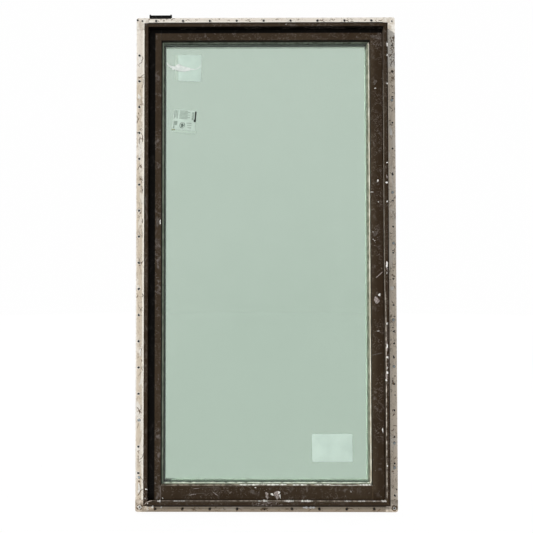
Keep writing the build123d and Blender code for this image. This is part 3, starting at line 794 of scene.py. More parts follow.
def addFixings():
    values = fixingValues
    jambHoles, headHoles = values["jambHoles"], values["headHoles"]
    reach = frameRight + finEdge - values["fromEdge"]
    depth = finFace + values["stubRecess"]
    rows = (frameTop + frameBottom) / 2 + (np.arange(jambHoles) - jambHoles // 2) * values["jambPitch"]
    along = values["headShift"] + (np.arange(headHoles) - headHoles // 2) * values["headPitch"]
    left, right = pointsOf(-reach, depth, rows), pointsOf(reach, depth, rows + values["rightRise"])
    head = pointsOf(along, depth, frameTop + finEdge - values["fromEdge"])
    sill = pointsOf(along, depth, finOuter + values["fromEdge"])
    holes = np.concatenate([left, right, head, sill])
    radius = np.full(len(holes), values["stubRadius"])
    radius[jambHoles:2 * jambHoles] = values["rightStubRadius"]
    outlines = raggedOutline(len(holes), radius, radius * 0.92, 0.24, 3)
    addOnWall("cutNails", holes, outlines, profiles["stub"], stubSteel)
    torn = np.concatenate([left, head, sill]) - [0, values["stubRecess"], 0]
    hole, tube = values["stubRadius"], values["burrTube"]
    addBurrs("tornVinyl", torn[:-headHoles], hole + 0.0006, tube, 5, burrVinyl)
    addBurrs("dirtyTornVinyl", torn[-headHoles:], hole + 0.0005, tube, 6, brownCrust)

    heads = onPlane(values["rightHeads"] + values["leftHeads"], finFace)
    count, radius = len(heads), values["headRadius"]
    stain = raggedOutline(count, 1.18 * radius, 1.18 * radius, 0.16, 7)
    addOnWall("headStains", heads, stain, profiles["stain"], brownCrust)
    disc = raggedOutline(count, radius, radius, 0.02, 9)
    addOnWall("nailHeads", heads, disc, profiles["head"], galvanised)

def addCornerScrews():
    # Screws on the corner pads, with a square washer at lower left and a round one at lower right
    values = fixingValues
    spots = onPlane(values["padScrews"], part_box("top_left_corner_pad")[0].y)
    half, corner = values["squareWasher"]
    square = roundedOutline(half, half, corner) @ np.array([[0.8, 0.6], [-0.6, 0.8]])
    addOnWall("squareWasher", spots[0], square, profiles["washer"], wornZinc)
    disc = raggedOutline(1, values["roundWasher"], values["roundWasher"], 0.02, 12)
    addOnWall("roundWasher", spots[1:2], disc, profiles["washer"], wornZinc)
    addBurrs("padTear", spots[2:3], *values["padTear"], 17, burrVinyl)
    radius = np.array(values["padScrewRadii"])
    domes = raggedOutline(len(radius), radius, radius, 0.02, 13)
    addOnWall("screwHeads", spots, domes, profiles["dome"], stubSteel)
    dirt = raggedOutline(2, *values["washerDirt"], 0.2, 14)
    addOnWall("washerDirt", spots[:2], dirt, profiles["dirt"], brownCrust)

    # The bracket's own screws, through its foot
    low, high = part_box("head_bracket")
    middle, aside = (low.x + high.x) / 2, values["bracketScrewAside"]
    depth, foot = (high.y + values["bracketFootStart"]) / 2 + 0.0001, low.z + values["bracketPlate"]
    screws = np.array([[middle - aside, depth, foot], [middle + aside, depth, foot]])
    pan = raggedOutline(2, values["bracketScrew"], values["bracketScrew"], 0.01, 15)
    addPlates("bracketScrews", screws, (1, 0, 0), (0, 1, 0), pan, profiles["pan"], galvanised)

def addBracketEdges():
    # Painted shade in black along the fin's free edge in front of the bracket, from one of its ends to the
    # other, and a rolled hem on the bracket's upper edge between its lugs
    values = fixingValues
    low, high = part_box("head_bracket")
    share = np.linspace(0.02, 0.98, 30)
    across = low.x + share * (high.x - low.x)
    level = frameTop + finEdge - values["gapDirt"][0] + 0.0003 * np.sin(37 * share)
    dirt = pointsOf(across, finFace, level)
    addStrokes("bracketGapShade", dirt, outdoors, *values["gapDirt"], softBlack)
    hem = pointsOf(across, low.y + values["bracketPlate"] / 2, high.z - values["hemDrop"])
    addStrokes("bracketHem", hem, skyward, *values["hem"], blackPaint, slot="bracket_steel")

addFixings()
addCornerScrews()
addBracketEdges()
print("fixings added")

# Temporary labels on the glass, left without lettering. Corners run from lower left, anticlockwise,
# in the photograph's pixels. Ring is its radius and its thickness.
labelValues = {
    "upper": ((178.3, 80.8), (201.0, 81.8), (202.1, 55.1), (178.1, 55.0)),
    "ghost": ((175.2, 80.4), (178.2, 80.7), (178.1, 55.2), (175.8, 55.0)),
    "small": ((172.0, 129.4), (195.0, 131.0), (196.9, 111.0), (174.2, 109.3)),
    "strip": ((172.3, 132.2), (196.4, 134.3), (196.6, 131.6), (172.5, 129.9)),
    "lower": ((312.4, 461.9), (352.9, 461.9), (352.4, 433.9), (311.9, 434.1)),
    "thick": 0.0003,
    "ring": (0.0098, 0.0009),
    "spot": 0.0062,
}

def mapped(corners, shares):
    # Bilinear blend of four corners by two shares from 0 to 1
    corners, shares = np.asarray(corners, float), np.asarray(shares, float)
    u, v = shares[..., :1], shares[..., 1:]
    return (1 - v) * ((1 - u) * corners[0] + u * corners[1]) + v * ((1 - u) * corners[3] + u * corners[2])

def addFilms(name, cornerSets, radius, lift, thick, material):
    # Thin sheets on the glass: a rounded unit square carried onto each set of corners
    square = roundedOutline(0.5, 0.5, radius) + 0.5
    outlines, centres = [], []
    for corners in cornerSets:
        ring = onPlane(mapped(corners, square), glassFace)
        centres.append(ring.mean(0) - [0, lift, 0])
        outlines.append((ring - ring.mean(0))[:, [0, 2]])
    profile = [(0, thick), (0.985, thick), (1, 0.4 * thick), (1, -0.00005), (0, -0.00005)]
    return addOnWall(name, np.array(centres), np.array(outlines), profile, material)

def addLabels():
    values = labelValues
    thick = values["thick"]
    addFilms("upperLabel", [values["upper"]], 0.02, 0, thick, labelFilm)
    addFilms("lowerLabel", [values["lower"]], 0.05, 0, thick, labelFilm)
    addFilms("smallLabel", [values["small"]], 0.03, 0, thick, smallFilm)
    addFilms("glueTraces", [values["ghost"], values["strip"]], 0.02, 0, thick / 3, gluePrint)

    # Blank blocks and ruled lines stand for what the small label says
    blocks = [(0.02 + 0.065 * i, 0.55 + 0.06 * (i % 2), 0.062 + 0.065 * i, 0.97) for i in range(3)]
    blocks += [(0.03, 0.22, 0.2, 0.44), (0.02, 0.06, 0.09, 0.2), (0.8, 0.52, 0.89, 0.92)]
    lines = [(0.26, 0.93 - 0.062 * i, 0.62 + 0.1 * (i % 2), 0.968 - 0.062 * i) for i in range(7)]
    lines += [(0.6 + 0.03 * i, 0.34 - 0.11 * i, 0.82, 0.38 - 0.11 * i) for i in range(3)]
    boxes = [*blocks, *lines]
    corners = [mapped(values["small"], [(a, b), (c, b), (c, d), (a, d)]) for a, b, c, d in boxes]
    addFilms("labelBlocks", corners, 0.04, thick, 0.00008, faintPrint)
    bar = mapped(values["small"], [(0.925, 0.44), (0.995, 0.44), (0.99, 0.97), (0.92, 0.97)])
    foot = mapped(values["small"], [(0.9, 0.44), (0.995, 0.44), (0.995, 0.56), (0.9, 0.56)])
    addFilms("labelBar", [bar, foot], 0.1, thick, 0.0001, darkPrint)
    trace = mapped(values["small"], [(-0.03, -0.035), (0.14, -0.035), (0.13, 0.03), (-0.02, 0.03)])
    addFilms("labelGlueTrace", [trace], 0.12, thick, 0.0001, glueCrust)
    spot = onPlane(mapped(values["small"], [(0.42, 0.24)]), glassFace) - [[0, thick, 0]]
    addBurrs("labelRing", spot, *values["ring"], 19, ringPrint, slot=None)
    outline = raggedOutline(1, values["spot"], values["spot"], 0.3, 1)
    addOnWall("labelSpot", spot, outline, profiles["print"], ringPrint)

addLabels()
print("labels added")

# A smear of white paste across the upper label, as a broad band that thins to a tail
smearValues = {
    "path": (
        (166.8, 62.4), (168.6, 65.2), (171.6, 67.0), (175.0, 68.0), (178.6, 67.9), (183.0, 69.0),
        (187.4, 69.2), (191.2, 69.2), (195.0, 69.4), (198.6, 67.9), (201.7, 64.6),
    ),
    "halfWide": (0.3, 0.6, 1.1, 2.0, 3.4, 2.9, 2.1, 0.8, 0.4, 0.4, 0.15),
    "lumps": ((178.4, 65.4, 1.4, 1.4), (173.4, 69.0, 1.3, 0.8)),
    "steps": 60,
}

def addSmear():
    values, face = smearValues, glassFace - labelValues["thick"]
    path = onPlane(smoothPath(values["path"], values["steps"]), face)
    share = np.linspace(0, 1, values["steps"])
    knots = np.linspace(0, 1, len(values["halfWide"]))
    wide = np.interp(share, knots, values["halfWide"]) * cameraValues["pixelWidth"]
    wide = wide * (1 + 0.1 * np.sin(61 * share) + 0.08 * np.sin(137 * share + 1))
    addStrokes("pasteSmear", path, outdoors, wide, 0.0003 + 0.05 * wide, smearPaste)
    lumps = np.array(values["lumps"])
    outlines = outlineAt(lumps, lumps[:, 2:], 0.3, 21, glassFace)
    addOnWall("pasteLumps", onPlane(lumps[:, :2], face), outlines, profiles["paste"], smearPaste)

addSmear()
print("smear added")

# Chips, splashes and crusts, each a middle and half sizes in the photograph's pixels
splashValues = {
    "lipWhite": (
        (386.9, 264.5, 0.75, 3.6), (387.2, 44.5, 0.4, 2.7), (387.2, 55.0, 0.5, 1.0),
        (387.2, 83.4, 0.5, 1.0), (387.2, 162.5, 0.7, 0.6), (386.8, 182.4, 0.9, 1.1),
        (387.2, 201.4, 0.6, 0.8), (387.0, 323.6, 0.7, 1.0), (387.4, 357.2, 0.9, 1.1),
        (387.3, 372.6, 0.9, 1.5), (386.4, 380.2, 0.9, 0.9), (387.3, 466.0, 0.8, 0.6),
        (386.9, 273.0, 0.3, 0.9), (387.3, 368.0, 0.5, 0.9), (387.2, 346.0, 0.6, 2.6),
        (146.2, 489.2, 1.1, 0.5), (145.2, 498.3, 0.4, 0.4), (147.6, 503.4, 0.5, 0.4),
        (286.0, 24.2, 0.5, 0.3), (152.8, 506.1, 0.7, 0.35),
    ),
    "sashWhite": (
        (272.2, 494.4, 1.2, 1.3), (279.0, 492.6, 0.8, 1.5), (280.0, 496.2, 0.6, 1.8),
        (379.4, 294.8, 1.3, 1.1), (377.9, 180.6, 0.7, 1.2), (371.8, 192.0, 1.2, 0.4),
        (382.8, 430.2, 0.6, 1.9), (378.4, 201.8, 0.5, 0.5), (375.2, 88.2, 0.9, 0.5),
        (351.0, 491.6, 0.3, 0.8), (373.2, 239.2, 0.45, 0.4), (374.7, 240.6, 0.5, 0.4),
        (373.0, 231.8, 0.4, 0.4), (162.6, 498.3, 0.5, 0.6), (378.4, 331.0, 1.1, 0.3),
        (255.4, 487.6, 0.7, 0.5), (160.2, 222.0, 0.5, 2.2),
    ),
    "sashChalk": ((276.8, 494.8, 3.0, 3.2), (267.0, 495.6, 1.5, 3.2), (376.7, 300.2, 2.5, 3.4)),
    "sashFaint": (
        (373.6, 36.4, 2.6, 1.6), (375.0, 82.0, 1.8, 2.6), (157.6, 222.0, 1.3, 4.6),
        (156.2, 241.0, 1.0, 3.0), (252.4, 491.6, 2.0, 2.4), (375.4, 233.5, 2.0, 2.6),
    ),
    "lipCrust": (
        (258.6, 503.4, 0.7, 0.4), (263.0, 504.8, 0.9, 0.4), (268.8, 503.2, 0.7, 0.5),
        (267.4, 502.6, 0.6, 0.4), (386.6, 343.0, 0.9, 1.2), (386.8, 376.0, 1.1, 2.2),
        (386.9, 268.6, 0.6, 0.8), (387.0, 349.5, 0.9, 1.5),
    ),
    "finCrust": (
        (392.6, 275.0, 1.0, 0.8), (393.2, 270.6, 0.5, 0.5), (393.1, 278.6, 0.8, 0.5),
        (393.0, 382.6, 0.9, 2.4), (395.0, 376.0, 0.6, 0.7), (392.8, 471.4, 1.1, 0.6),
        (394.8, 500.2, 0.8, 0.9), (391.4, 41.0, 0.5, 1.6), (393.0, 37.8, 1.3, 0.4), (391.8, 62.4, 0.7, 0.6),
        (393.6, 60.2, 0.7, 0.6), (390.6, 64.2, 0.5, 0.5), (392.8, 98.4, 0.9, 0.5), (390.0, 120.5, 0.7, 0.7),
        (265.0, 508.4, 3.2, 0.7), (261.6, 509.6, 1.6, 0.8), (140.6, 77.2, 3.4, 0.3),
        (139.0, 481.4, 0.8, 1.1), (137.4, 132.8, 0.5, 0.9), (142.6, 139.0, 0.4, 3.2),
        (138.4, 113.5, 0.5, 0.9), (142.2, 189.6, 0.4, 3.4), (140.4, 213.0, 1.2, 0.5),
        (141.6, 262.6, 1.0, 0.4), (139.8, 265.4, 0.8, 0.5),
    ),
    "finDark": (
        (391.0, 59.2, 0.45, 0.5), (392.4, 61.3, 0.5, 0.4), (393.9, 57.4, 0.4, 0.4), (391.6, 63.6, 0.4, 0.4),
        (393.6, 356.3, 0.7, 0.8), (392.9, 250.6, 0.6, 0.6), (395.0, 330.6, 0.45, 0.6),
        (391.6, 322.0, 0.6, 0.35), (392.5, 173.1, 0.55, 0.7), (392.3, 72.6, 0.8, 0.5),
        (393.3, 71.6, 0.4, 0.6), (392.8, 92.6, 0.6, 0.6), (394.0, 343.6, 1.3, 0.45),
        (394.2, 343.4, 0.5, 1.3), (394.8, 495.6, 0.9, 1.2), (396.6, 489.4, 0.7, 0.8),
        (392.9, 327.6, 0.9, 0.5), (395.0, 395.0, 0.6, 0.7), (394.4, 316.4, 0.9, 0.4),
        (144.0, 511.0, 0.6, 0.4),
    ),
    "finPale": (
        (390.9, 131.9, 1.5, 3.4), (392.0, 288.2, 1.6, 2.4), (139.2, 96.8, 1.3, 2.7),
        (146.6, 508.8, 2.1, 1.6), (391.6, 51.4, 1.2, 1.1), (152.4, 507.4, 1.4, 0.7),
        (161.3, 507.3, 0.8, 0.8), (389.4, 155.0, 0.4, 2.2), (140.4, 352.0, 1.0, 4.0),
        (139.2, 489.0, 1.6, 5.2),
    ),
    "thick": 0.0007,
    "thinShare": 0.35,
    "thinKinds": ("sashChalk", "sashFaint", "finPale"),
}
splashSheets = {
    "lipWhite": (lipFace, whitePaste),
    "sashWhite": (sashFace, whitePaste),
    "sashChalk": (sashFace, lilacChalk),
    "sashFaint": (sashFace, faintChalk),
    "lipCrust": (lipFace, lilacChalk),
    "finCrust": (finFace, brownCrust),
    "finDark": (finFace, stubSteel),
    "finPale": (finFace, burrVinyl),
}

def addSplashes():
    for seed, (kind, (depth, material)) in enumerate(splashSheets.items()):
        rows = np.array(splashValues[kind])
        centres = onPlane(rows[:, :2], depth)
        thin = splashValues["thick"]
        if kind in splashValues["thinKinds"]:
            thin *= splashValues["thinShare"]
        profile = [(0, thin), (0.45, 0.92 * thin), (0.8, 0.6 * thin), (1, 0.1 * thin), (1, -0.0003),
                   (0, -0.0003)]
        outlines = outlineAt(rows, rows[:, 2:], 0.42, 31 + seed, depth)
        addOnWall(kind, centres, outlines, profile, material)

addSplashes()
print("splashes and crusts added")

# Residue that lies along the bottom: first and last pixel across, then its size. On the bead, the share
# of the way from its front edge to its foot comes before the size, and at the fin's root the pixel's
# height. The bead's edges are its depth and its height over the sight line, and bead width and root width
# are in pixels.
residueValues = {
    "recess": (
        (257.8, 261.6, 0.6), (262.8, 267.4, 1.3), (284.5, 293.8, 1.2), (300.8, 312.8, 1.2),
        (343.8, 351.4, 0.6), (357.6, 365.8, 0.6), (381.6, 387.0, 1.1), (157.2, 161.0, 1.2),
        (173.0, 185.4, 0.4), (372.4, 376.2, 0.5),
    ),
    "bead": (
        (238.5, 258.5, 0.5, 0.9), (257.5, 266.0, 0.8, 0.4), (265.0, 287.0, 0.55, 1.0),
        (292.5, 307.5, 0.45, 0.9), (314.5, 331.5, 0.55, 0.6), (330.0, 358.0, 0.25, 0.35),
        (358.5, 372.3, 0.45, 1.1),
    ),
    "beadFront": (-0.0205, 0.0008),
    "beadFoot": (-0.008, 0.003),
    "root": ((302.6, 315.8, 507.5, 1.3),),
    "recessWidth": 0.009,
    "beadWidth": 1.38,
    "rootWidth": 0.9,
    "seed": 40,
    "steps": 26,
    "pixelRow": 500.0,
    "wander": 0.00012,
}

def addResidueStrokes(name, rows, depth, outward, spots, width):
    # Flattened strokes from each row's first to its last pixel, measured on the plane Y = depth. Each
    # lies at its own spot, a depth and a height, and thins and wanders at random.
    values = residueValues
    rng = np.random.default_rng(len(rows) + values["seed"])
    share = np.linspace(0, 1, values["steps"])
    paths, wide = [], []
    for row, spot in zip(rows, spots):
        first, last = onPlane([(row[0], values["pixelRow"]), (row[1], values["pixelRow"])], depth)[:, 0]
        wander = np.cumsum(rng.normal(0, values["wander"], len(share)))
        level = spot + (wander - wander.mean())[:, None] * np.array([outward[2], -outward[1]])
        paths.append(np.column_stack([first + share * (last - first), level]))
        wave = 0.62 + 0.22 * np.sin(share * rng.uniform(7, 13) + rng.uniform(0, 6))
        wave = wave + 0.3 * np.sin(share * rng.uniform(19, 34) + rng.uniform(0, 6))
        thinning = np.clip(9 * share * (1 - share), 0.08, 1) ** 0.6
        wide.append(width * row[-1] * np.clip(wave, 0.12, 1.2) * thinning)
    wide = np.array(wide)
    addStrokes(name, np.array(paths), outward, wide, 0.25 * wide + 0.0002, whitePaste)

def addResidue():
    values, scale = residueValues, cameraValues["pixelWidth"]
    middle = 0.4 * lipFace + 0.6 * sashFace
    spots = [(middle, frameBottom + lipWidth)] * len(values["recess"])
    addResidueStrokes("recessResidue", values["recess"], middle, skyward, spots, values["recessWidth"])

    front, foot = np.array(values["beadFront"]), np.array(values["beadFoot"])
    slope = foot - front
    facing = np.array([0, -slope[1], slope[0]]) / np.hypot(*slope)
    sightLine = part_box("bottom_rail_cladding")[1].z
    spots = [front + row[2] * slope + [0, sightLine] for row in values["bead"]]
    width = values["beadWidth"] * scale
    addResidueStrokes("beadResidue", values["bead"], sashFace, facing, spots, width)

    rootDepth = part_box("sill_nailing_fin")[0].y
    spots = [onPlane([(row[0], row[2])], rootDepth)[0, 1:] for row in values["root"]]
    width = values["rootWidth"] * scale
    addResidueStrokes("rootResidue", values["root"], rootDepth, outdoors, spots, width)

addResidue()
print("residue added")

# Grit in patches: left, top, right and bottom of each patch in pixels, how many grains and their half
# size in pixels. Margin is the least distance to a fin's free edge.
gritValues = {
    "lipGrit": (
        (386.2, 322.0, 388.4, 346.0, 46, 0.26), (386.2, 354.0, 388.6, 384.0, 60, 0.3),
        (386.4, 268.0, 388.2, 284.0, 22, 0.24), (385.6, 478.0, 388.6, 500.0, 24, 0.26),
        (252.0, 501.8, 282.0, 506.2, 95, 0.27), (144.4, 484.0, 147.4, 504.0, 20, 0.24),
    ),
    "sashGrit": (
        (370.5, 224.0, 379.5, 246.0, 40, 0.26), (371.0, 33.0, 381.0, 47.0, 34, 0.28),
        (371.0, 322.0, 382.0, 352.0, 34, 0.22), (170.0, 487.0, 230.0, 497.5, 40, 0.22),
        (236.0, 487.0, 300.0, 498.0, 40, 0.22), (154.8, 180.0, 160.8, 420.0, 70, 0.22),
        (176.0, 33.5, 360.0, 39.5, 70, 0.2),
    ),
    "finGrit": (
        (389.6, 54.0, 396.0, 66.0, 30, 0.3), (390.0, 70.0, 395.6, 80.0, 18, 0.3),
        (390.0, 320.0, 396.0, 348.0, 34, 0.3), (390.0, 88.0, 395.0, 104.0, 16, 0.26),
        (389.6, 150.0, 396.4, 500.0, 90, 0.24), (136.4, 40.0, 143.2, 500.0, 110, 0.22),
        (150.0, 18.2, 388.0, 21.6, 70, 0.22), (150.0, 507.6, 388.0, 511.4, 80, 0.24),
    ),
    "margin": 0.0022,
}
gritSheets = {
    "lipGrit": (lipFace, lilacChalk),
    "sashGrit": (sashFace, lilacChalk),
    "finGrit": (finFace, darkCrust),
}

def keptOnFins(points):
    # Points on the fins' plane, moved in to stay a little inside the fins' free edges
    margin = gritValues["margin"]
    side, top, foot = frameRight + finEdge - margin, frameTop + finEdge - margin, finOuter + margin
    return np.clip(points, (-side, -1, foot), (side, 1, top))

def addGrit():
    rng = np.random.default_rng(77)
    for seed, (kind, (depth, material)) in enumerate(gritSheets.items()):
        places, sizes = [], []
        for left, top, right, bottom, count, half in gritValues[kind]:
            places.append(rng.uniform((left, top), (right, bottom), (count, 2)))
            sizes.append(half * rng.uniform(0.45, 1.25, (count, 2)))
        places, sizes = np.concatenate(places), np.concatenate(sizes)
        scale = pixelAt(depth)
        outlines = raggedOutline(len(places), sizes[:, 0] * scale, sizes[:, 1] * scale, 0.3, 80 + seed, 9)
        addOnWall(kind, keptOnFins(onPlane(places, depth)), outlines, profiles["grit"], material)

# Brown squiggles left by adhesive on the fins: a patch in pixels, how many, their length in pixels, and
# how far they turn from upright
squiggleValues = {
    "leftFinSquiggles": (136.8, 46.0, 142.8, 500.0, 46, 6.5, 0.5),
    "rightFinSquiggles": (389.8, 34.0, 396.0, 500.0, 66, 3.4, 1.2),
    "upperRightSquiggles": (389.8, 36.0, 395.8, 84.0, 22, 3.0, 1.3),
    "headFinSquiggles": (146.0, 18.6, 388.0, 21.4, 34, 4.0, 1.7),
    "lowFinSquiggles": (150.0, 508.0, 388.0, 511.2, 22, 5.0, 1.6),
}

def addSquiggles():
    # Each goes from a random middle in a random direction, bent by one sine wave of random height
    rng = np.random.default_rng(91)
    scale = pixelAt(finFace)
    share = np.linspace(-0.5, 0.5, 12)
    for name, (left, top, right, bottom, count, length, lean) in squiggleValues.items():
        middle = onPlane(rng.uniform((left, top), (right, bottom), (count, 2)), finFace)
        turn = rng.normal(0, lean, (count, 1)) if lean < 1.5 else lean + rng.normal(0, 0.35, (count, 1))
        reach = length * scale * rng.uniform(0.4, 1.3, (count, 1)) * share
        bend = scale * rng.uniform(-0.9, 0.9, (count, 1)) * np.cos(share * rng.uniform(3, 9, (count, 1)))
        across = reach * np.sin(turn) + bend * np.cos(turn)
        upward = reach * np.cos(turn) - bend * np.sin(turn)
        paths = middle[:, None] + np.stack([across, 0 * across, upward], -1)
        paths = keptOnFins(paths) + np.stack([0.0002 * share, 0 * share, 0.0002 * share], -1)
        wide = scale * rng.uniform(0.18, 0.36, (count, 1)) * np.clip(1.3 - 4 * share ** 2, 0.1, 1)
        addStrokes(name, paths, outdoors, wide, 0.3 * wide, brownCrust)

# The dusty line down the right side of the lip, and along the foot of the recess. A point on the lip's
# inner wall has its depth, its pixel row and its share of the half width, and one on its face its pixel
# and its half width in pixels.
dustLineValues = {
    "wall": ((-0.0245, 70.0, 0.25), (-0.026, 150.0, 0.5), (-0.028, 230.0, 0.8), (-0.034, 300.0, 1.1)),
    "face": ((385.3, 292.0, 0.16), (385.6, 340.0, 0.26), (385.9, 400.0, 0.28), (386.3, 450.0, 0.24),
             (386.8, 499.0, 0.3)),
    "column": 384.0,
    "halfWide": 0.0015,
    "floorHalfWide": 0.0036,
    "floorInset": (0.02, 0.004),
    "fromSash": 0.0075,
    "thick": 0.0003,
    "steps": 260,
}

def uneven(seed, share):
    # How many times as wide the dust lies along its line
    waves = sumOfWaves(np.random.default_rng(seed), share, 7, 0.4, (30, 300))
    return np.clip(0.75 + 0.28 * waves, 0.08, 1.6)

def addDustLines():
    values = dustLineValues
    steps, thick = values["steps"], values["thick"]
    share = np.linspace(0, 1, steps)
    wallX = frameRight - lipWidth
    wall = smoothPath(values["wall"], steps)
    pixels = np.stack([np.full(steps, values["column"]), wall[:, 1]], 1)
    path = pointsOf(wallX, wall[:, 0], onPlane(pixels, sashFace)[:, 2])
    wide = values["halfWide"] * wall[:, 2] * uneven(5, share)
    addStrokes("wallDustLine", path, (-1, 0, 0), wide, thick, paleCake)

    face = smoothPath(values["face"], steps)
    halfWide = face[:, 2] * pixelAt(lipFace)
    path = onPlane(face[:, :2], lipFace)
    path[:, 0] = np.maximum(path[:, 0], wallX + halfWide)
    addStrokes("lipDustLine", path, outdoors, halfWide * uneven(6, share), thick, paleCake)

    start, end = frameLeft + lipWidth + values["floorInset"][0], wallX - values["floorInset"][1]
    depth = sashFace - values["fromSash"] - 0.001 * np.sin(9 * share)
    path = pointsOf(start + share * (end - start), depth, frameBottom + lipWidth)
    fading = np.interp(share, (0, 0.1, 0.3, 1), (0.2, 0.6, 1.0, 1.1))
    wide = values["floorHalfWide"] * fading * uneven(8, share)
    addStrokes("floorDustLine", path, skyward, wide, thick, dustCake)

addGrit()
addSquiggles()
addDustLines()
print("grit, squiggles and dust lines added")

# Scratches, cracks and joint lines: a path in pixels, its half width in pixels, its depth and finish
lineValues = {
    "crack": (((136.3, 406.6), (138.4, 409.0), (140.2, 411.6), (142.1, 413.4)), 0.35, finFace, brownCrust),
    "squiggle": (
        ((141.7, 488.8), (140.6, 491.0), (139.7, 492.6), (138.6, 494.6), (137.4, 495.4)),
        0.4, finFace, brownCrust,
    ),
    "upperSquiggle": (
        ((143.0, 77.0), (143.4, 82.0), (142.6, 86.0), (141.4, 88.0)),
        0.22, finFace, brownCrust,
    ),
    "sashScratch": (((375.7, 278.0), (378.4, 275.6), (383.0, 271.6)), 0.45, sashFace, lilacChalk),
    "railScratch": (((189.2, 495.4), (192.6, 494.6), (196.4, 494.4)), 0.25, sashFace, lilacChalk),
    "railScratchTwo": (((193.0, 488.7), (198.6, 488.5)), 0.2, sashFace, lilacChalk),
    "rubbedStreak": (((371.4, 355.4), (377.0, 354.0), (383.0, 352.8)), 0.6, sashFace, faintChalk),
    "cornerArc": (
        ((144.2, 505.0), (146.2, 502.8), (149.4, 501.2), (153.2, 500.6)),
        0.28, lipFace, dustCake,
    ),
    "longRub": (
        ((184.0, 495.6), (191.0, 494.2), (200.0, 493.4), (206.0, 493.6)),
        0.28, sashFace, faintChalk,
    ),
    "slantScratch": (((212.6, 491.6), (216.0, 494.4), (218.8, 496.4)), 0.28, sashFace, lilacChalk),
    "highRub": (((194.0, 488.4), (206.0, 487.6), (222.0, 488.0)), 0.22, sashFace, faintChalk),
    "lipScratch": (((386.4, 174.6), (387.0, 176.6), (387.3, 178.8)), 0.4, lipFace, lilacChalk),
}

lineSteps = 24

def addLines():
    for name, (points, half, depth, material) in lineValues.items():
        share = np.linspace(0, 1, lineSteps)
        path = onPlane(smoothPath(points, lineSteps), depth)
        thinning = np.clip(7 * share * (1 - share), 0.15, 1) * (1 + 0.25 * np.sin(40 * share))
        wide = half * cameraValues["pixelWidth"] * thinning
        addStrokes(name, path, outdoors, wide, 0.3 * wide, material)

seamValues = {"halfWide": 0.0004, "mitreStart": 0.0038, "steps": 12}

def addSeam(name, start, end, material):
    half = seamValues["halfWide"]
    addStrokes(name, np.linspace(start, end, seamValues["steps"]), outdoors, half, 0.3 * half, material)

def addSeams():
    # Dust or shadow in the joints between stiles and rails, and in the mitres of the lip
    stileEdge = abs(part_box("left_stile_cladding")[1].x)
    insets = (seamValues["mitreStart"], lipWidth - seamValues["halfWide"])
    for side, label, dusty in ((-1, "left", lilacChalk), (1, "right", brownCrust)):
        x = side * stileEdge
        for rail, end, material in (("bottom", "Low", dusty), ("top", "High", softBlack)):
            low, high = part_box(rail + "_rail_cladding")
            addSeam(label + end + "Joint", (x, sashFace, low.z), (x, sashFace, high.z), material)
        mitres = ((frameBottom, 1, "Low", brownCrust), (frameTop, -1, "High", softBlack))
        for z, step, end, material in mitres:
            start, stop = [(side * (frameRight - inset), lipFace, z + step * inset) for inset in insets]
            addSeam(label + end + "Mitre", start, stop, material)

addLines()
addSeams()
print("lines and seams added")

# Sealant squeezed out beside the beads: a ribbon on each side, wavy and knotted. The seal's painted shade
# and the bead smear have their share of the way along the slope, half width, height and how many times as
# wide they end at the top.
ribbonValues = {
    "halfWide": {"left": 0.0011, "top": 0.0011, "right": 0.0034, "bottom": 0.0017},
    "overGlass": {"left": 0.0, "top": 0.0, "right": 0.005, "bottom": 0.0005},
    "high": {"left": 0.0008, "top": 0.0008, "right": 0.0008, "bottom": 0.0014},
    "sealShade": (0.28, 0.0014, 0.0003, 2.0),
    "beadSmear": (0.14, 0.0016, 0.0003, 0.4),
    "sealEdge": 0.0006,
    "endInset": 0.02,
    "steps": 420,
}
# Painted shade: the left and top ribbons take darker, shaded copies of the sealant
ribbonFinish = {"left": shadedGreenSealant, "top": shadedSealant, "right": dullSealant, "bottom": paleSealant}

def sealantWave(seed, share):
    # From about -1 to 1 along a ribbon
    return sumOfWaves(np.random.default_rng(seed), share, 9, 0.3, (20, 260)) / 4

def addRibbons():
    values = ribbonValues
    left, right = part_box("left_glazing_seal")[1].x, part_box("right_glazing_seal")[0].x
    bottom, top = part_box("bottom_glazing_seal")[1].z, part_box("top_glazing_seal")[0].z
    # Where each ribbon starts and ends, and the way from it towards the middle of the glass
    sides = {
        "left": ((left, bottom), (left, top), (1, 0)),
        "right": ((right, top), (right, bottom), (-1, 0)),
        "top": ((left, top), (right, top), (0, -1)),
        "bottom": ((right, bottom), (left, bottom), (0, 1)),
    }
    share = np.linspace(0.002, 0.998, values["steps"])
    for seed, (side, (start, end, inward)) in enumerate(sides.items()):
        wave = sealantWave(60 + seed, share)
        knots = np.clip(wave - 0.55, 0, 1)
        halfWide = values["halfWide"][side]
        push = 0.0003 * wave + 0.0002 + values["overGlass"][side] - halfWide
        x = start[0] + share * (end[0] - start[0]) + inward[0] * push
        z = start[1] + share * (end[1] - start[1]) + inward[1] * push
        wide = halfWide * (1 + 0.25 * wave) + 0.0008 * knots
        high = values["high"][side] * (1 + 0.5 * wave) + 0.0006 * knots
        path = pointsOf(x, glassFace, z)
        material = ribbonFinish[side]
        addStrokes(side + "SealantRibbon", path, outdoors, wide, high, material, slot="glazing_sealant")

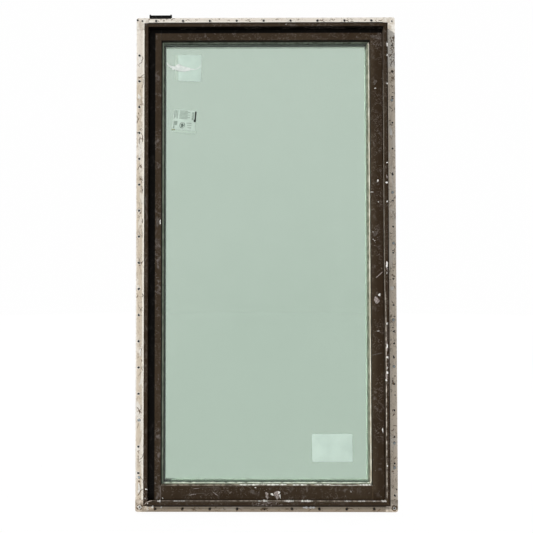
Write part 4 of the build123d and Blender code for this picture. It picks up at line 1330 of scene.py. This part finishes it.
def addRightMargin():
    # On the right, painted shade lies on the inner part of the sealant's slope, and sealant on the bead's
    # foot
    seal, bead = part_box("right_glazing_seal"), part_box("right_glazing_bead")
    inner = np.array([seal[0].x, glassFace - ribbonValues["sealEdge"]])
    foot = np.array([bead[0].x, seal[0].y])
    front = np.array([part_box("right_stile_cladding")[0].x, bead[0].y])
    share = np.linspace(0, 1, ribbonValues["steps"])
    low, high = seal[0].z + ribbonValues["endInset"], seal[1].z - ribbonValues["endInset"]
    rows = (("sealShade", inner, foot, dullSealant), ("beadSmear", foot, front, creamSealant))
    for seed, (name, start, stop, material) in enumerate(rows):
        along, halfWide, thick, atTop = ribbonValues[name]
        wide = halfWide * np.interp(share, (0, 0.82, 0.95, 1), (1, 1, 0.5 + 0.5 * atTop, atTop))
        wide = wide * (1 + 0.3 * sealantWave(80 + seed, share))
        spot = start + along * (stop - start)
        way = (stop - start) / np.hypot(*(stop - start))
        path = pointsOf(spot[0], spot[1], low + share * (high - low))
        addStrokes(name, path, (way[1], -way[0], 0), wide, thick, material, slot="glazing_sealant")

addRibbons()
addRightMargin()
print("sealant added")

# Stage and light: a hard, low sun from the upper left on the window alone, and even soft light
stageValues = {
    "radius": 14.0,
    "around": 96,
    "rings": 24,
    "floorGlow": 0.9755,
    "floorTone": (0.06, 0.06, 0.0597),
    "domeGlow": 0.995,
    "frontFill": 0.45,
    "roomFill": 0.62,
    "groundFill": 0.42,
    "sun": 2.5,
    "sunAngle": 1.4,
    "sunWay": (1.03, 1.0, -0.68),
}

def makeStagePaint(name, glow, tone):
    material, tree, skin = startMaterial(name, 1.0, 0.0)
    mottle = noise(tree, here(tree), 0.6, 2)
    tree.links.new(blend(tree, mottle, tone, tuple(v * 0.985 for v in tone)), skin.inputs["Base Color"])
    skin.inputs["Emission Color"].default_value = (1, 1, 1, 1)
    skin.inputs["Emission Strength"].default_value = glow
    return material

def addStage():
    # The floor is a disc, its points radius times (cos a, sin a). The dome over it is half a sphere.
    values = stageValues
    radius, around, rings = values["radius"], values["around"], values["rings"]
    turn = np.linspace(0, 2 * np.pi, around, endpoint=False)
    circle = np.stack([np.cos(turn), np.sin(turn), 0 * turn], -1)
    level = np.array([0, 0, cadBox[0].z - 0.0005])
    reach = radius * np.linspace(0.02, 1, rings) ** 2
    disc = reach[:, None, None] * circle + level
    row, step = np.arange(rings - 1)[:, None] * around, np.arange(around)[None, :]
    ahead = (step + 1) % around
    quads = np.stack([row + step, row + around + step, row + around + ahead, row + ahead], -1).reshape(-1, 4)
    centre = np.stack([np.full(around, rings * around), step[0], ahead[0]], -1)
    paint = makeStagePaint("paleFloor", values["floorGlow"], values["floorTone"])
    floor = addMesh("floor", np.concatenate([disc.reshape(-1, 3), level[None]]), quads, centre, paint, None)
    rise = np.linspace(0, np.pi / 2 - 0.001, rings)[:, None, None]
    shell = radius * (np.cos(rise) * circle + np.sin(rise) * np.array([0, 0, 1.0]))
    paint = makeStagePaint("paleBackdrop", values["domeGlow"], (0.0, 0.0, 0.0))
    dome = addMesh("backdrop", shell + level, quads, centre[:0], paint, None)
    for part in (floor, dome):
        part.visible_diffuse = part.visible_glossy = False
    dome.visible_shadow = False
    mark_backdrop(floor, dome)

def addLight():
    world = bpy.data.worlds.new("evenLight")
    scene.world = world
    world.use_nodes = True
    sky = world.node_tree
    way = split(sky, put(sky, "ShaderNodeTexCoord").outputs["Generated"])
    glow = ramp(sky, way["Y"], -0.2, 0.5, stageValues["frontFill"], stageValues["roomFill"])
    glow = plus(sky, glow, ramp(sky, way["Z"], -0.05, -0.6, 0.0, stageValues["groundFill"]))
    sky.nodes["Background"].inputs["Color"].default_value = (1, 1, 1, 1)
    sky.links.new(glow, sky.nodes["Background"].inputs["Strength"])
    data = bpy.data.lights.new("lowSun", "SUN")
    data.energy = stageValues["sun"]
    data.angle = np.radians(stageValues["sunAngle"])
    data.color = (1.0, 0.985, 0.955)
    sun = bpy.data.objects.new("lowSun", data)
    sun.rotation_mode = "QUATERNION"
    sun.rotation_quaternion = Vector(stageValues["sunWay"]).to_track_quat("-Z", "Y")
    scene.collection.objects.link(sun)
    return sun

addStage()
sun = addLight()
print("stage and light set")

# The sun lights the window and nothing of the stage
sunlit = bpy.data.collections.new("sunlit")
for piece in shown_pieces():
    sunlit.objects.link(piece)
sun.light_linking.receiver_collection = sunlit
